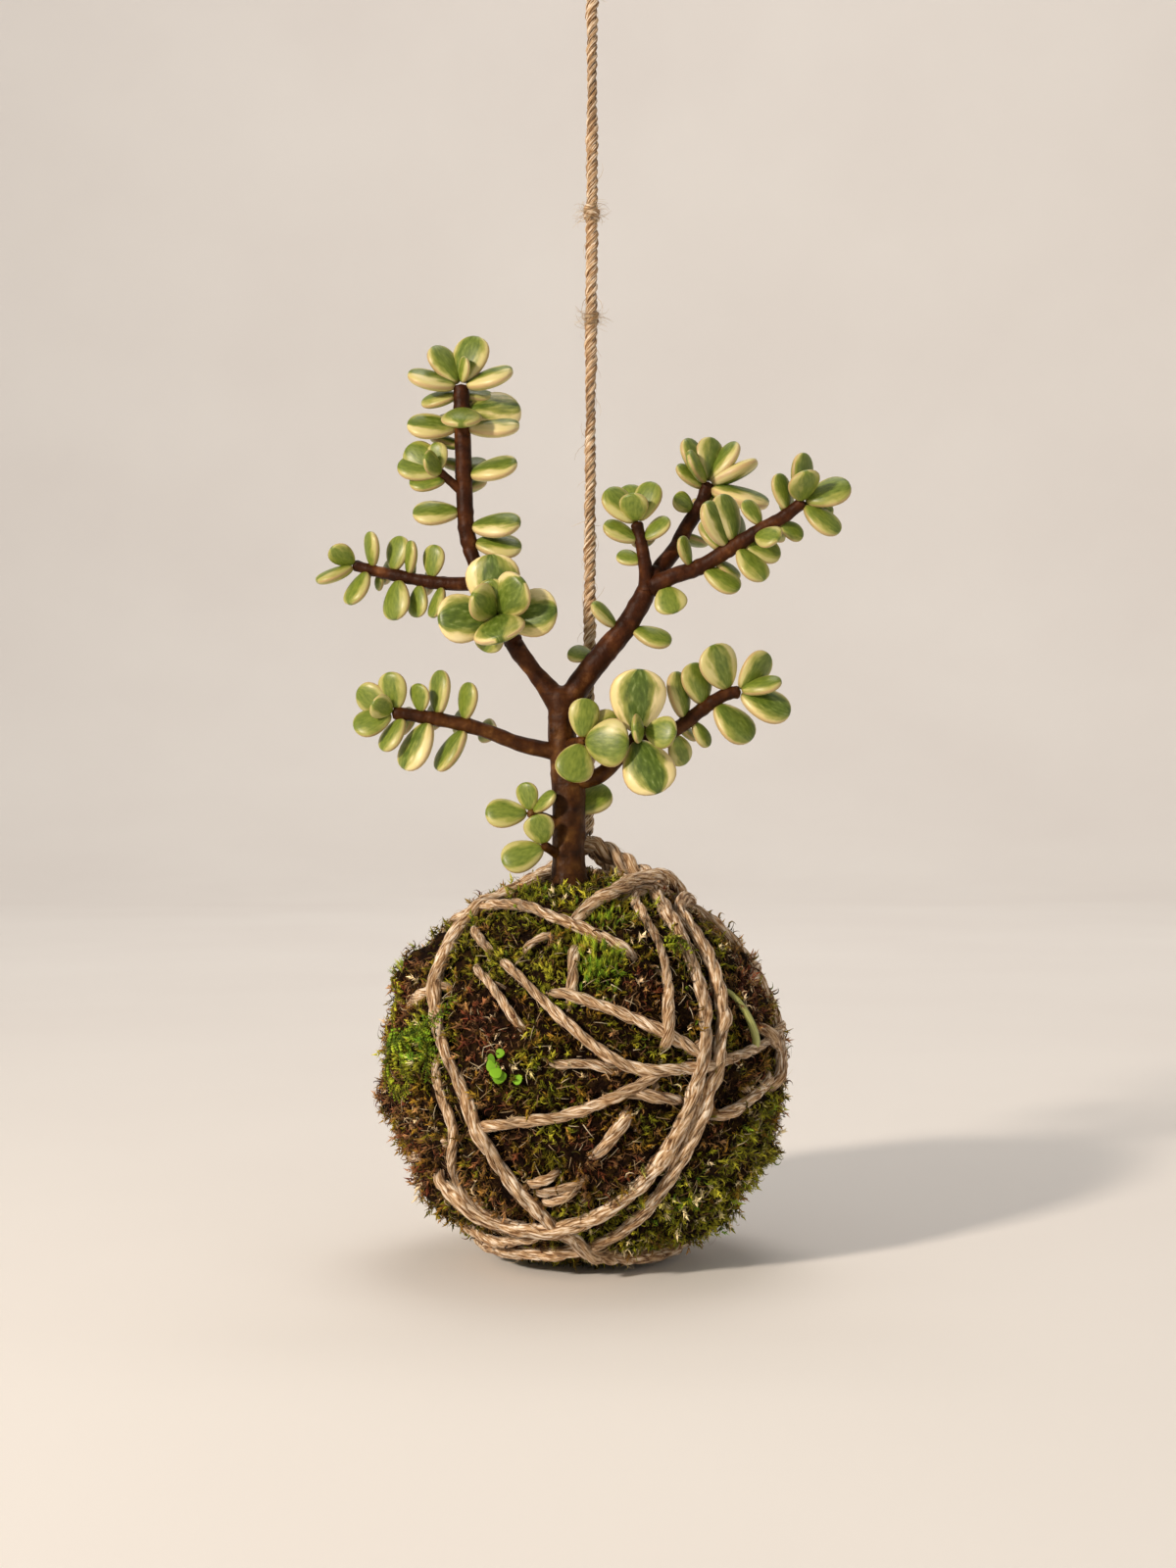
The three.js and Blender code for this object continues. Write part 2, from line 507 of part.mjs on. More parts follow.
// A shoot's stem and leaves, cut back to leave a small gap to the limb that it grows from.
function shoot(plan, seed, clearance) {
  const pieces = [stemOf(plan), ...leaves(plan, seed)];
  if (plan.sprig) pieces.push(stemOf(plan.sprig), ...leaves(plan.sprig, seed + SPRIG_SEED));
  const whole = pieces.map(solid).reduce((sum, next) => sum.add(next));
  return joined([whole.subtract(clearance)]);
}

// The cord with its knots. Its section is a polygon.
function hangingCord() {
  const section = new THREE.Shape(
    Array.from({ length: CORD_SIDES }, (_, i) => {
      const round = (i / CORD_SIDES) * 2 * Math.PI;
      return new THREE.Vector2(Math.cos(round), Math.sin(round)).multiplyScalar(CORD_THICK / 2);
    }),
  );
  const extrudePath = curveThrough(CORD_ROUTE);
  const tube = new THREE.ExtrudeGeometry(section, { steps: CORD_STEPS, extrudePath });
  const knots = CORD_KNOTS.map((middle) => bead(middle, CORD_KNOT_HALF));
  return joined([tube, ...knots].map(solid));
}

function cordLoop() {
  const [x, y, z] = CORD_TOP;
  const right = LOOP_HALF.map(([side, up]) => [x + side, y, z + up]);
  const left = LOOP_HALF.slice(1, -1).map(([side, up]) => [x - side, y, z + up]);
  const loop = curveThrough([...right, ...left.reverse()], true);
  const middle = vec(x, y, z + LOOP_MIDDLE);
  const rule = (at) => loop.getPoint(at);
  const ring = ringAlong(rule, middle, CORD_THICK, CORD_THICK, CORD_SIDES, LOOP_STEPS);
  return joined([solid(bead([x, y, z + LOOP_KNOT_LIFT], LOOP_KNOT_HALF)), solid(ring)]);
}

const finish = (color, roughness) => new THREE.MeshStandardMaterial({ color, roughness, metalness: 0 });
const BARK = finish("#5b3a29", 0.75);
const LEAF = finish("#8ea45f", 0.45);
const MOSS = finish("#4d5a22", 0.95);
const SOIL = finish("#33241a", 0.95);
const JUTE = finish("#b08d62", 0.9);

const kokedama = new THREE.Group();
function add(name, body, material) {
  const mesh = new THREE.Mesh(geometryOf(body), material);
  mesh.name = name;
  kokedama.add(mesh);
}

add("soil_core", soilCore(), SOIL);
add("moss_shell", mossShell(), MOSS);
add("binding_twine", bindingTwine(), JUTE);
add("trunk", trunk(), BARK);
const clearance = trunkLimbs(GAP)
  .map(solid)
  .reduce((sum, next) => sum.add(next));
Object.entries(SHOOTS).forEach(([name, plan], i) => {
  const parent = SHOOTS[plan.growsFrom];
  const clear = parent ? clearance.add(solid(stemOf(parent, GAP))) : clearance;
  add(name, shoot(plan, i + SHOOT_SEED, clear), LEAF);
});
add("hanging_cord", hangingCord(), JUTE);
add("cord_loop", cordLoop(), JUTE);

export default kokedama;
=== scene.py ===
import math
from contextlib import contextmanager
from functools import partial

import bpy
import numpy as np
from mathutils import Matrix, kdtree


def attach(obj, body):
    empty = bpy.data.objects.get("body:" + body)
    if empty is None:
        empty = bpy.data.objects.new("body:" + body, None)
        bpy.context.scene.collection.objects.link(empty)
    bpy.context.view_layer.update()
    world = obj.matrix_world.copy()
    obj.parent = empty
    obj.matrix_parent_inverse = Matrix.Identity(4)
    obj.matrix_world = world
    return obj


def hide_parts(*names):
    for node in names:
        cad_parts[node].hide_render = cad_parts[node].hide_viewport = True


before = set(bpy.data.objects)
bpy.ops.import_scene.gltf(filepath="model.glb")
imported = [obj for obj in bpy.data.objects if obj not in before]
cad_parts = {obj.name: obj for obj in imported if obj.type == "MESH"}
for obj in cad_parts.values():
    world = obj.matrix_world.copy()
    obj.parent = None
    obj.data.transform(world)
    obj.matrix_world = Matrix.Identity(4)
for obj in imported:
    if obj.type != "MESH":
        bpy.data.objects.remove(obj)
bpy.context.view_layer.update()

MM = 0.001

# The photo's viewpoint
CAMERA_PLACE = (0.7, -530, 115.7)
FOCAL_PIXELS = 2200
PHOTO_HEIGHT = 1600
SENSOR = 36

# The ball, as the solids have it
CENTRE = np.array([0, 0, 45.6])
MOSS_RADIUS = 47.2
MOSS_HEIGHT = 47.0
TRUNK_HOLE = np.array([-3.9, -6.0])

# The plant, as the solids have it
LEAF_SUNK = 0.8  # how far below the tip of a stem its last leaves start
LEAF_ROOTED = 0.7  # how far out of its stem's middle a leaf starts, as a share of the stem's radius
TO_VIEWER = np.array([0, -1.0, 0])
TO_BACK = np.array([0, 1.0, 0])
BEHIND_FIRST = 0.3
BEHIND_LAST = 0.95
BEHIND_SWING = 55
BEHIND_LEAN = 72
BEHIND_SHORT = 8.4
BEHIND_LONG = 10.8
USUAL_WIDE = 0.76
TRUNK_SEED = 1
LIMB_SEED = 2
SHOOT_SEED = 3
SPRIG_SEED = 40

# A leaf that the photo shows is its foot, as a share of the stem's length, its tip's place in millimetres,
# how far its upper face is turned from the viewer towards the shoot's tip, in degrees, and its width as a
# share of its length where that isn't the usual one. The leaves behind a shoot, which the photo doesn't
# show, follow a rule.
TRUNK = {
    "points": [(-3.6, -5, 70), (-3.8, -6, 90), (-4.1, -6, 101), (-3.9, -6, 114), (-5.6, -6, 128),
               (-5.6, -6, 137)],
    "radii": [2.6, 4.4, 4.1, 4.2, 3.5, 3.3],
    "leaves": [(0.556, 5.6, -1, 114.4, 20, 0.8)],
}
LEFT_LIMB = {
    "points": [(-5, -6, 132), (-8.4, -6, 138), (-12.4, -6, 143), (-17, -6, 149.5), (-21.4, -4.5, 157.5),
               (-25.6, -3, 166), (-28, -2, 172.5)],
    "radii": [2.9, 2.6, 2.3, 2.2, 2.1, 2, 1.9],
}
RIGHT_LIMB = {
    "points": [(-5, -6, 133), (-1.7, -6.5, 139.5), (4, -7, 146.8), (10.2, -7.5, 154.4), (13.8, -7.5, 160.6),
               (16.8, -7.5, 166.5)],
    "radii": [3.2, 3, 2.9, 2.8, 2.6, 2.4],
    "leaves": [(0.6, 1.3, -10, 159, 54, 0.72), (0.64, 20.6, -9, 149.2, 48), (0.4, -4.1, -4, 147.6, 36, 0.9)],
}
SHOOTS = {
    "left_top_shoot": {
        "grows_on": True,
        "points": [(-28, -2, 172.5), (-29.1, -2, 178.6), (-29.8, -2, 195),
                   (-30.4, -2, 213.6)], "radii": (2.1, 1.9),
        "leaves": [(1, -26.4, 0, 225.4, 40, 0.86), (1, -37.6, 0, 222.8, 50), (1, -28.6, -6, 219.4, 40, 0.8),
                   (0.99, -43.5, -3, 215.2, 58), (0.99, -17.4, -4, 215.9, 58), (0.94, -40, 2.5, 209.4, 55),
                   (0.93, -23, 5, 211.6, 60), (0.86, -29.7, -12, 201.4, 70, 0.95),
                   (0.83, -16.2, 3, 207.8, 35, 0.9),
                   (0.74, -43.6, -2, 203, 44), (0.74, -16, -3, 202.4, 60), (0.45, -16.4, -3, 193.6, 52),
                   (0.48, -25.6, 5.5, 195.8, 60), (0.24, -42.2, -2, 181.4, 44),
                   (0.15, -15.6, -5.5, 178.4, 50), (0.06, -15.6, -2, 172.8, 46)],
        "behind": 5,
        "sprig": {"points": [(-29.6, -2, 187), (-32.6, -3, 189.4), (-35.8, -4.5, 192.2)], "radii": (1.2, 0.9),
                  "leaves": [(0.85, -43.6, -1, 198, 50), (0.9, -36.4, -3.6, 199, 35, 0.84),
                             (0.85, -39.1, -10, 194.6, 40, 0.86), (0.82, -45.8, -2, 193.4, 72, 0.7),
                             (0.6, -42.9, -3, 188.8, 60)]},
    },
    "left_side_shoot": {
        "points": [(-25, -3, 165), (-30, -3, 164.6), (-37.5, -2, 165.1), (-44, -1, 166.4), (-52.3, 0, 168.2),
                   (-57.2, 0.5, 169.7)], "radii": (1.75, 1.3),
        "leaves": [(0.39, -36.3, -2.6, 174.2, 30, 0.8), (0.56, -41.9, -3, 175.2, 55, 0.7),
                   (0.68, -45.2, 1, 176.6, 35, 0.8), (0.84, -52, -2, 177.6, 50, 0.72),
                   (0.97, -62, -4, 173.6, 25, 0.8),
                   (0.98, -65.4, -3, 164.6, 52, 0.74), (0.88, -57, -4, 159.2, 44, 0.78),
                   (0.76, -51.4, 5, 164.4, 50, 0.7),
                   (0.64, -46, -3, 155.6, 36, 0.82), (0.47, -41, -1.5, 156.4, 40, 0.84),
                   (0.3, -36.6, -5, 156, 50, 0.76)],
        "behind": 4,
    },
    "front_left_shoot": {
        "points": [(-17.6, -6, 150.6), (-19.6, -10.5, 153.8), (-21.3, -15, 156.2)], "radii": (1.7, 1.2),
        "leaves": [(0.96, -22.6, -14, 170.6, 20, 0.95), (0.9, -35.2, -17, 154.6, 28, 0.9),
                   (0.85, -6.4, -16.5, 157, 40, 0.88), (0.95, -19.4, -26, 148.8, 40, 1),
                   (1, -26.8, -23, 160.6, 40, 0.86),
                   (1, -14.2, -22, 164, 40, 0.88), (1, -22.2, -18, 164.6, 35, 0.86),
                   (0.8, -24.2, -13, 147.4, 30, 0.95)],
    },
    "lower_left_shoot": {
        "points": [(-6, -6.3, 123.3), (-15.7, -7, 125.4), (-23.3, -8, 128.3), (-28.7, -8.5, 129.9),
                   (-38.1, -9, 131.8), (-46.7, -9, 133)], "radii": (2.05, 1.5),
        "leaves": [(0.58, -27.3, -9.5, 140.2, 50), (0.73, -34.6, -7, 143.2, 50, 0.68),
                   (0.83, -39.7, -11, 140, 36, 0.86),
                   (0.96, -47, -10, 142.8, 25, 0.84), (0.99, -55, -6, 138.6, 40, 0.8),
                   (1, -51.2, -14, 135.2, 12, 0.95),
                   (0.98, -55.6, -10, 128.6, 32, 0.84), (0.92, -48.4, -10, 123.4, 45, 0.76),
                   (0.77, -43, -9.5, 118.8, 45, 0.78), (0.56, -35.2, -8.5, 118.6, 60, 0.7)],
        "behind": 4,
    },
    "lower_right_shoot": {
        "points": [(-2.5, -6.5, 116.2), (3.5, -9, 117.8), (10.9, -10, 124.4), (22.3, -9, 129.2),
                   (28, -8, 133.5), (34.5, -7, 137.6), (37.8, -7, 138)], "radii": (2, 1.5),
        "leaves": [(0.66, 21.2, -8, 142.8, 50, 0.74), (0.78, 25.8, -7, 145, 34, 0.9),
                   (0.94, 30.2, -9, 149.2, 26, 0.94),
                   (1, 44.2, -5, 147.6, 44, 0.76), (1, 47.2, -10, 141, 75, 0.7),
                   (0.98, 49.4, -7, 132, 40, 0.8),
                   (0.84, 39.8, -8, 125.8, 38, 0.88), (0.7, 29.8, -6, 124.8, 40, 0.72),
                   (0.58, 24, -5, 120.6, 25, 0.82)],
        "behind": 3,
    },
    "lower_right_front_shoot": {
        "points": [(10.4, -9.8, 123.6), (12.2, -15, 127.4), (14, -20, 128.6)], "radii": (1.5, 1.1),
        "leaves": [(0.5, 12.9, -18, 143.2, 15, 0.88), (0.45, 17.4, -18, 113.2, 20, 0.9),
                   (1, 11, -27, 128.8, 50, 0.95), (1, 21.6, -24, 127.4, 36, 0.95)],
    },
    "trunk_front_shoot": {
        "points": [(-4.4, -7, 125), (-1.6, -12, 125.8), (-0.4, -15.6, 126)], "radii": (1.5, 1.1),
        "leaves": [(0.9, 0, -14, 136.2, 22, 0.8), (1, 10.6, -19, 125.2, 20, 1.05),
                   (0.9, -3.7, -17, 116.2, 20, 0.98), (0.8, 8, -11, 131.8, 55)],
    },
    "upper_sprig": {
        "points": [(-5, -6.5, 105.6), (-11.4, -9, 108.1), (-14, -10, 108.8)], "radii": (1.4, 1),
        "leaves": [(0.9, -14.3, -10, 116.2, 30, 0.84), (0.88, -6.9, -12.5, 113.4, 80, 0.62),
                   (0.96, -24.1, -10, 108.4, 62, 0.76)],
    },
    "lower_sprig": {
        "points": [(-5, -6.5, 97.6), (-8.5, -10.5, 100), (-10.2, -13, 101.2)], "radii": (1.4, 1),
        "leaves": [(0.84, -12, -13.5, 108.4, 10, 1), (0.8, -19.9, -13, 96.6, 54, 0.78)],
    },
    "right_top_shoot": {
        "grows_on": True,
        "points": [(16.8, -7.5, 166.5), (22, -4.4, 173), (24.8, -2.4, 178.5), (28.4, -0.6, 184.3),
                   (30.3, 0.2, 190)], "radii": (2.2, 1.5),
        "leaves": [(1, 24.2, 1, 200.4, 50), (0.99, 24.5, -5.5, 196, 50, 0.84), (1, 30.8, 3, 201.1, 50),
                   (1, 37.8, 1, 199.4, 58), (0.99, 42.6, -1, 194.2, 78, 0.68), (0.92, 22.3, 0, 193.7, 50),
                   (0.7, 21.6, -3, 186, 20, 0.95), (0.95, 44.8, -1, 183.4, 62), (0.78, 34.4, 5, 189, 50)],
        "behind": 2,
    },
    "right_small_shoot": {
        "points": [(15, -8.2, 163.2), (14.3, -10.2, 169.6), (12.8, -10, 177), (12.3, -10.4, 179)],
        "radii": (1.7, 1.4),
        "leaves": [(0.94, 5, -9, 186.6, 45), (1, 11.3, -14.6, 185.4, 25, 0.95), (0.97, 16.8, -9, 188.4, 45),
                   (0.95, 10.4, -5.5, 188, 60), (0.68, 4.3, -10, 178, 42), (0.68, 20.4, -10, 179.5, 42),
                   (0.36, 7.9, -7, 171.2, 45)],
        "behind": 1,
    },
    "right_far_shoot": {
        "points": [(16.2, -8.6, 163.4), (21, -10.6, 165.7), (27.2, -11, 167.8), (34.7, -13, 172.1),
                   (42.2, -15, 176.6), (47, -16, 179.2), (52.2, -17, 183)], "radii": (2.1, 1.4),
        "leaves": [(0.06, 21.8, -12.4, 156.6, 8, 1.08), (0.25, 22.5, -14, 174.8, 55, 0.72),
                   (0.49, 27.9, -17, 182.5, 55, 0.72),
                   (0.53, 32.1, -13, 185, 45), (0.45, 29.2, -6, 179, 50), (0.72, 38, -13.5, 183.4, 40),
                   (0.66, 46, -21.6, 173.2, 20, 0.8), (0.88, 45.6, -16, 189.6, 48, 0.7),
                   (0.97, 51.4, -17, 194.5, 55, 0.68),
                   (1, 51.4, -24.4, 189.4, 20, 0.9), (1, 63.2, -17, 186.4, 50),
                   (0.98, 60, -18, 174.8, 46, 0.76),
                   (0.97, 59.2, -12.5, 181.2, 60, 0.7), (0.8, 52, -13, 174.8, 40),
                   (0.54, 42.4, -16, 163.8, 40), (0.57, 46.8, -10.5, 170.6, 45), (0.3, 36.9, -12, 162, 42)],
        "behind": 4,
    },
}

# The turns of twine, as directions from the ball's centre: degrees right of the front, degrees up. The
# number is each turn's thickness as a share of the thickest one's, and the last list is where the moss has
# grown over it, with a radius in degrees. The last turns lie on top of the first ones.
TURNS = [
    (0.68, [(-46, 30), (-20, 30), (-3, 27), (12, 22), (31, 12), (56, -3), (92, -18), (136, -32), (-172, -30),
            (-124, -8), (-82, 16)], [(-40, 30, 12), (-22, 30, 14), (44, 5, 12), (60, -6, 13), (78, -13, 13)]),
    (0.64, [(30, 60), (29, 41), (25, 23), (20, 4), (12, -16), (-8, -38), (-48, -52), (-86, -40), (-114, -14),
            (-126, 16), (-134, 50), (-170, 74), (70, 76)],
     [(20, 8, 8), (18, -4, 9), (13, -15, 9), (5, -26, 9), (-6, -36, 8)]),
    (0.68, [(-52, -18), (-28, -9), (-6, -5), (14, 3), (40, 16), (72, 28), (112, 32), (158, 18), (-160, -6),
            (-118, -24), (-82, -26)], [(-38, -12, 8), (-54, -18, 12), (27, 10, 7), (40, 16, 9),
                                       (54, 22, 9), (66, 26, 8)]),
    (0.7, [(-42, 43), (-19, 31), (-4, 19), (12, 8), (32, 7), (50, 9), (73, 12), (112, 16), (155, 22),
           (-165, 34), (-118, 48), (-72, 52)], [(-34, 39, 5), (-72, 52, 14)]),
    (0.8, [(-35, 59), (-13, 54), (9, 45), (30, 34), (62, 16), (100, -6), (140, -20), (-178, -16), (-140, 10),
           (-100, 40), (-64, 58)], [(24, 38, 8), (34, 32, 10), (46, 25, 10), (57, 19, 9)]),
    (0.92, [(60, 57), (46, 26), (37, 3), (29, -16), (20, -36), (4, -50), (-40, -57), (-115, -50), (-150, -22),
            (-168, 8), (-178, 38), (140, 52), (94, 58)], []),
    (1, [(45, 56), (39, 26), (32, 5), (25, -13), (13, -29), (-3, -39), (-28, -41), (-48, -32), (-78, -8),
         (-112, 18), (-150, 40), (155, 62), (84, 72)], [(-60, -22, 10)]),
    (0.96, [(-99, 80), (-67, 50), (-51, 22), (-36, 1), (-25, -20), (-13, -38), (12, -56), (75, -60),
            (125, -38),
            (146, 0), (152, 38), (165, 68)], []),
]
# The moss has grown over all the turns on the left side
LEFT_SIDE_GROWN = (-92, 2, 40)
# Short lengths of twine that come out of the moss and go back into it
SHORT_STRANDS = [
    (0.62, [(-46, 42), (-43, 37), (-31, 30), (-23, 23), (-17, 17), (-13, 13)]),
    (0.7, [(-14, 12), (-9, 9), (1, 9), (8, 7), (14, 6)]),
    (0.72, [(-2, 50), (-3, 47), (-4, 38), (-4, 30), (-5, 24), (-6, 20)]),
    (0.52, [(-26, 39), (-22, 43), (-18, 46), (-14, 48), (-9, 49)]),
    (0.75, [(34, -11), (38, -8), (46, -6), (55, -3), (65, 0), (74, 4)]),
    (0.9, [(62, 64), (69, 60), (82, 53), (86, 42), (88, 33), (87, 22), (84, 13), (74, 5), (68, -2),
           (64, -8)]),
    (0.7, [(-48, 14), (-47, 8), (-44, -1), (-40, -11), (-44, -26), (-39, -36), (-26, -43), (-16, -46)]),
    (0.6, [(-20, -28), (-15, -25), (-10, -23), (-6, -21)]),
    (0.66, [(-20, -31), (-13, -28), (-6, -26), (1, -24), (5, -22)]),
    (0.6, [(-17, -34), (-11, -31), (-5, -28), (1, -25)]),
    (0.8, [(4, 0), (12, 1), (19, 0), (27, -2), (32, -4)]),
    (0.9, [(-1, -21), (2, -18), (7, -11), (11, -6), (15, -1)]),
    (0.8, [(150, 64), (120, 46), (104, 24), (100, 0), (112, -22), (128, -34)]),
    (0.8, [(-150, -2), (-164, 12), (176, 22), (150, 28), (128, 40)]),
]
# The twisted pair that ties the twine to the cord, the two legs at its back and the strand that arches over
# it
TIE_PAIR = [(0.9, 3, 101), (5.8, 2.4, 98.8), (10.8, 0.4, 95.4), (14.8, -2, 93), (19, -6, 89.4)]
SLING_LEGS = [
    [(0.9, 3, 100.4), (2.4, 7, 98.6), (5.6, 13.4, 94.9), (8.4, 18.4, 91.2), (11, 24, 87), (12.6, 28.6, 82)],
    [(0.9, 3, 100.4), (-2, 6.4, 98.8), (-6.8, 10.4, 95.6), (-11.6, 13.6, 92.4), (-18, 16.6, 88),
     (-24, 18.6, 82)],
]
ARCH_STRAND = [(-3.4, -28.4, 82.6), (1.2, -25.6, 87.4), (7, -22, 90.6), (13.2, -14.2, 93.2), (19, -8, 93.6),
               (22.4, -3.4, 90.8), (24.5, 0.4, 86)]
UNDER_ARCH = [(4, -21.5, 84), (11.4, -15.4, 89.4), (17, -8.6, 90.4), (21.4, -3, 87.4), (24.6, 2.6, 82)]

# The hanging cord's route, as the solids have it, its knots and the loop at its end
CORD_FOOT = (0.9, 3, 102.6)
CORD_TOP = (1.7, 3, 313)
CORD_ROUTE = [CORD_FOOT, (1.3, 3, 205), (1.7, 3, 260), CORD_TOP]
CORD_THICK = 3
CORD_KNOTS = [(1.6, 3, 230.8), (1.6, 3, 256.7)]
LOOP_HALF = [(0, 5), (3.2, 10), (6.6, 17), (6, 24), (0, 27.5)]

# Patches of moss of another kind: degrees right of the front, degrees up, radius in degrees, and the kind,
# from 0, dead and brown, to 1, fresh and green
PATCHES = [
    (5, 36, 9, 1.0), (-10, 28, 9, 0.8), (-54, 8, 13, 0.97), (-29, 16, 15, 0.06), (57, -26, 26, 0.66),
    (8, -45, 20, 0.66), (-56, -14, 18, 0.24), (63, 25, 15, 0.12), (-60, 42, 16, 0.62), (20, 12, 10, 0.66),
    (22, 50, 12, 0.52), (-14, 60, 18, 0.7), (4, -14, 14, 0.2), (-20, -4, 9, 0.16), (28, -32, 14, 0.8),
    (-34, -40, 16, 0.34), (44, 44, 10, 0.5), (84, 0, 16, 0.4), (120, 20, 24, 0.7), (170, -10, 26, 0.3),
    (-120, 30, 26, 0.66), (-150, -34, 24, 0.8), (150, 56, 24, 0.55), (-92, -20, 18, 0.42),
]
# Fronds that stand out from the ball: degrees right of the front, degrees up, length in millimetres, and kind
FRONDS = [
    (-50, 66, 5, 0.8), (-34, 66, 6, 0.9), (-28, 70, 5, 0.7), (-54, 24, 5, 0.95), (70, 52, 4, 0.5),
    (76, 44, 4, 0.6),
    (-72, -48, 5, 0.6), (-64, -52, 4, 0.6), (130, 44, 6, 0.6), (160, 10, 6, 0.7), (-160, 30, 6, 0.6),
    (-130, -10, 5, 0.7), (175, -30, 5, 0.6), (42, 22, 4, 0.85), (36, 25, 4, 0.9),
]
# Feather moss that creeps over the ball and the twine: the kind, and its way as directions
FEATHERS = [
    (0.99, [(-73, 8), (-64, 11), (-55, 14), (-47, 18), (-41, 24)]),
    (0.93, [(-66, 11), (-60, 6), (-55, 1)]),
    (0.97, [(-51, 15), (-47, 10), (-45, 3)]),
    (0.9, [(-68, 9), (-70, 2), (-63, -3), (-56, -1)]),
    (0.8, [(-82, 26), (-76, 20), (-72, 12)]),
    (0.9, [(37, 43), (34, 41), (31, 40)]),
    (0.8, [(140, 30), (148, 24), (158, 20)]),
    (0.85, [(-150, -10), (-142, -2), (-132, 4)]),
]
# Clumps of moss that stand out: degrees right of the front, degrees up, radius in degrees, height in
# millimetres
CLUMPS = [
    (-85, 28, 4.5, 4.2), (-83, 35, 4, 3.2), (-87, 21, 4, 3), (-80, 44, 4, 2), (-90, -6, 5, 1.6),
    (-74, -40, 4, 2),
    (-58, -56, 4, 1.8), (-48, 66, 3.5, 2), (82, 38, 3.5, 1.8), (86, 6, 4, 1.6), (84, -24, 5, 2),
    (70, -44, 5, 2),
    (-8, 34, 6, 1.2), (14, -24, 6, 1.2), (-36, -8, 6, 1), (40, -20, 6, 1.4), (130, 50, 5, 2), (170, 4, 6, 2),
    (-140, 20, 6, 2.4), (-160, -30, 6, 2),
]
# Brushes of fresh needles: degrees right of the front, degrees up, radius in degrees, how many, their
# length, kind
BRUSHES = [
    (3, 42, 6, 80, 4.2, 0.93), (4, 34, 5.5, 70, 3.8, 1), (12, 54, 4.5, 34, 2.8, 0.97),
    (34, 42, 3.5, 14, 2.6, 0.9),
    (-11, 33, 6, 60, 2.4, 0.82), (-85, 29, 5, 40, 2.6, 0.95), (-40, 62, 4, 26, 2.6, 0.9),
    (50, -36, 8, 70, 2.2, 0.8),
    (-52, 10, 7, 18, 2.4, 0.9), (10, -44, 8, 60, 2.2, 0.84), (150, 30, 8, 60, 2.8, 0.95),
    (-130, -20, 8, 60, 2.6, 0.9),
]
# A pale grass stem, as directions, and small round leaves: degrees right of the front, degrees up, size
GRASS = [(50, 28), (52, 23), (54, 18), (56, 13), (57, 9)]
ROUND_LEAVES = [(-26, 9.4, 3.2), (-24.4, 8.2, 2.6), (-22.6, 7.2, 3), (-21, 5.6, 3.3), (-19.6, 4.6, 2.6),
                (-23.4, 9.8, 2.2)]
# Long fine hairs that hang from the lower left: degrees right of the front, degrees up, length
HAIRS = [(-80, -12, 9), (-74, -28, 7), (-66, -36, 6), (-58, -46, 5), (-84, -4, 6), (62, -34, 5), (84, 18, 6)]


def unit(vectors):
    """The same directions, each of length 1."""
    return vectors / np.linalg.norm(vectors, axis=-1, keepdims=True)


def square_to(directions, wanted):
    """The directions nearest to the wanted ones that are square to the given ones."""
    return unit(wanted - directions * np.sum(wanted * directions, axis=-1, keepdims=True))


def seeded(seed):
    """A number from 0 to 1 that is always the same for the same seed."""
    value = math.sin(seed * 12.9898) * 43758.5453
    return value - math.floor(value)


def blend(low, high, share):
    return low + (high - low) * share


def rise(values, low, high):
    """0 below low, 1 above high, and a smooth rise between them."""
    share = np.clip((values - low) / (high - low), 0, 1)
    return share * share * (3 - 2 * share)


def ripples(places, size, seed, waves=9):
    """A smooth uneven pattern from about -1 to 1 over places, with bumps of about that size."""
    draws, total = np.random.default_rng(seed), np.zeros(len(places))
    for _ in range(waves):
        wave = unit(draws.normal(size=3)) * draws.uniform(0.7, 1.6) / size * math.pi
        total += np.sin(places @ wave + draws.uniform(0, 2 * math.pi))
    return total / math.sqrt(waves)


def curve_through(corners, count, closed=False):
    """Points of the smooth curve through the corners that the solids' limbs and turns follow."""
    corners = np.asarray(corners, float)
    if closed:
        ends = np.vstack([corners[-1:], corners, corners[:2]])
    else:
        ends = np.vstack([2 * corners[0] - corners[1], corners, 2 * corners[-1] - corners[-2]])
    spans = len(ends) - 3
    place = np.linspace(0, spans, count, endpoint=not closed)
    before = np.minimum(place.astype(int), spans - 1)
    share = (place - before)[:, None]
    a, b, c, d = (ends[before + i] for i in range(4))
    ab, bc, cd = (np.sqrt(np.linalg.norm(step, axis=1))[:, None] for step in (b - a, c - b, d - c))
    start = ((b - a) / ab - (c - a) / (ab + bc) + (c - b) / bc) * bc
    end = ((c - b) / bc - (d - b) / (bc + cd) + (d - c) / cd) * bc
    square, cube = 3 * (c - b) - 2 * start - end, 2 * (b - c) + start + end
    return b + start * share + square * share**2 + cube * share**3


def travelled(line):
    """How far along the line each of its points is."""
    return np.concatenate([[0], np.cumsum(np.linalg.norm(np.diff(line, axis=0), axis=1))])


def point_at(line, far, at):
    """The place, or the places, that far along the line, whose points are as far along as given."""
    return np.stack([np.interp(at, far, line[:, i]) for i in range(3)], axis=-1)


def spaced(line, spacing):
    """The same line with its points that far apart."""
    far = travelled(line)
    return point_at(line, far, np.linspace(0, far[-1], max(4, round(far[-1] / spacing)) + 1))


def along_line(line, share):
    """The point and the direction at a share of the line's length."""
    far = travelled(line)
    here, before, after = (point_at(line, far, s * far[-1])
                           for s in (share, max(share - 0.002, 0), min(share + 0.002, 1)))
    return here, unit(after - before)


def towards(right, up):
    """A direction from the ball's centre, given as degrees to the right of the front and degrees up."""
    right, up = np.radians(right), np.radians(up)
    return np.stack([np.sin(right) * np.cos(up), -np.cos(right) * np.cos(up), np.sin(up)], axis=-1)


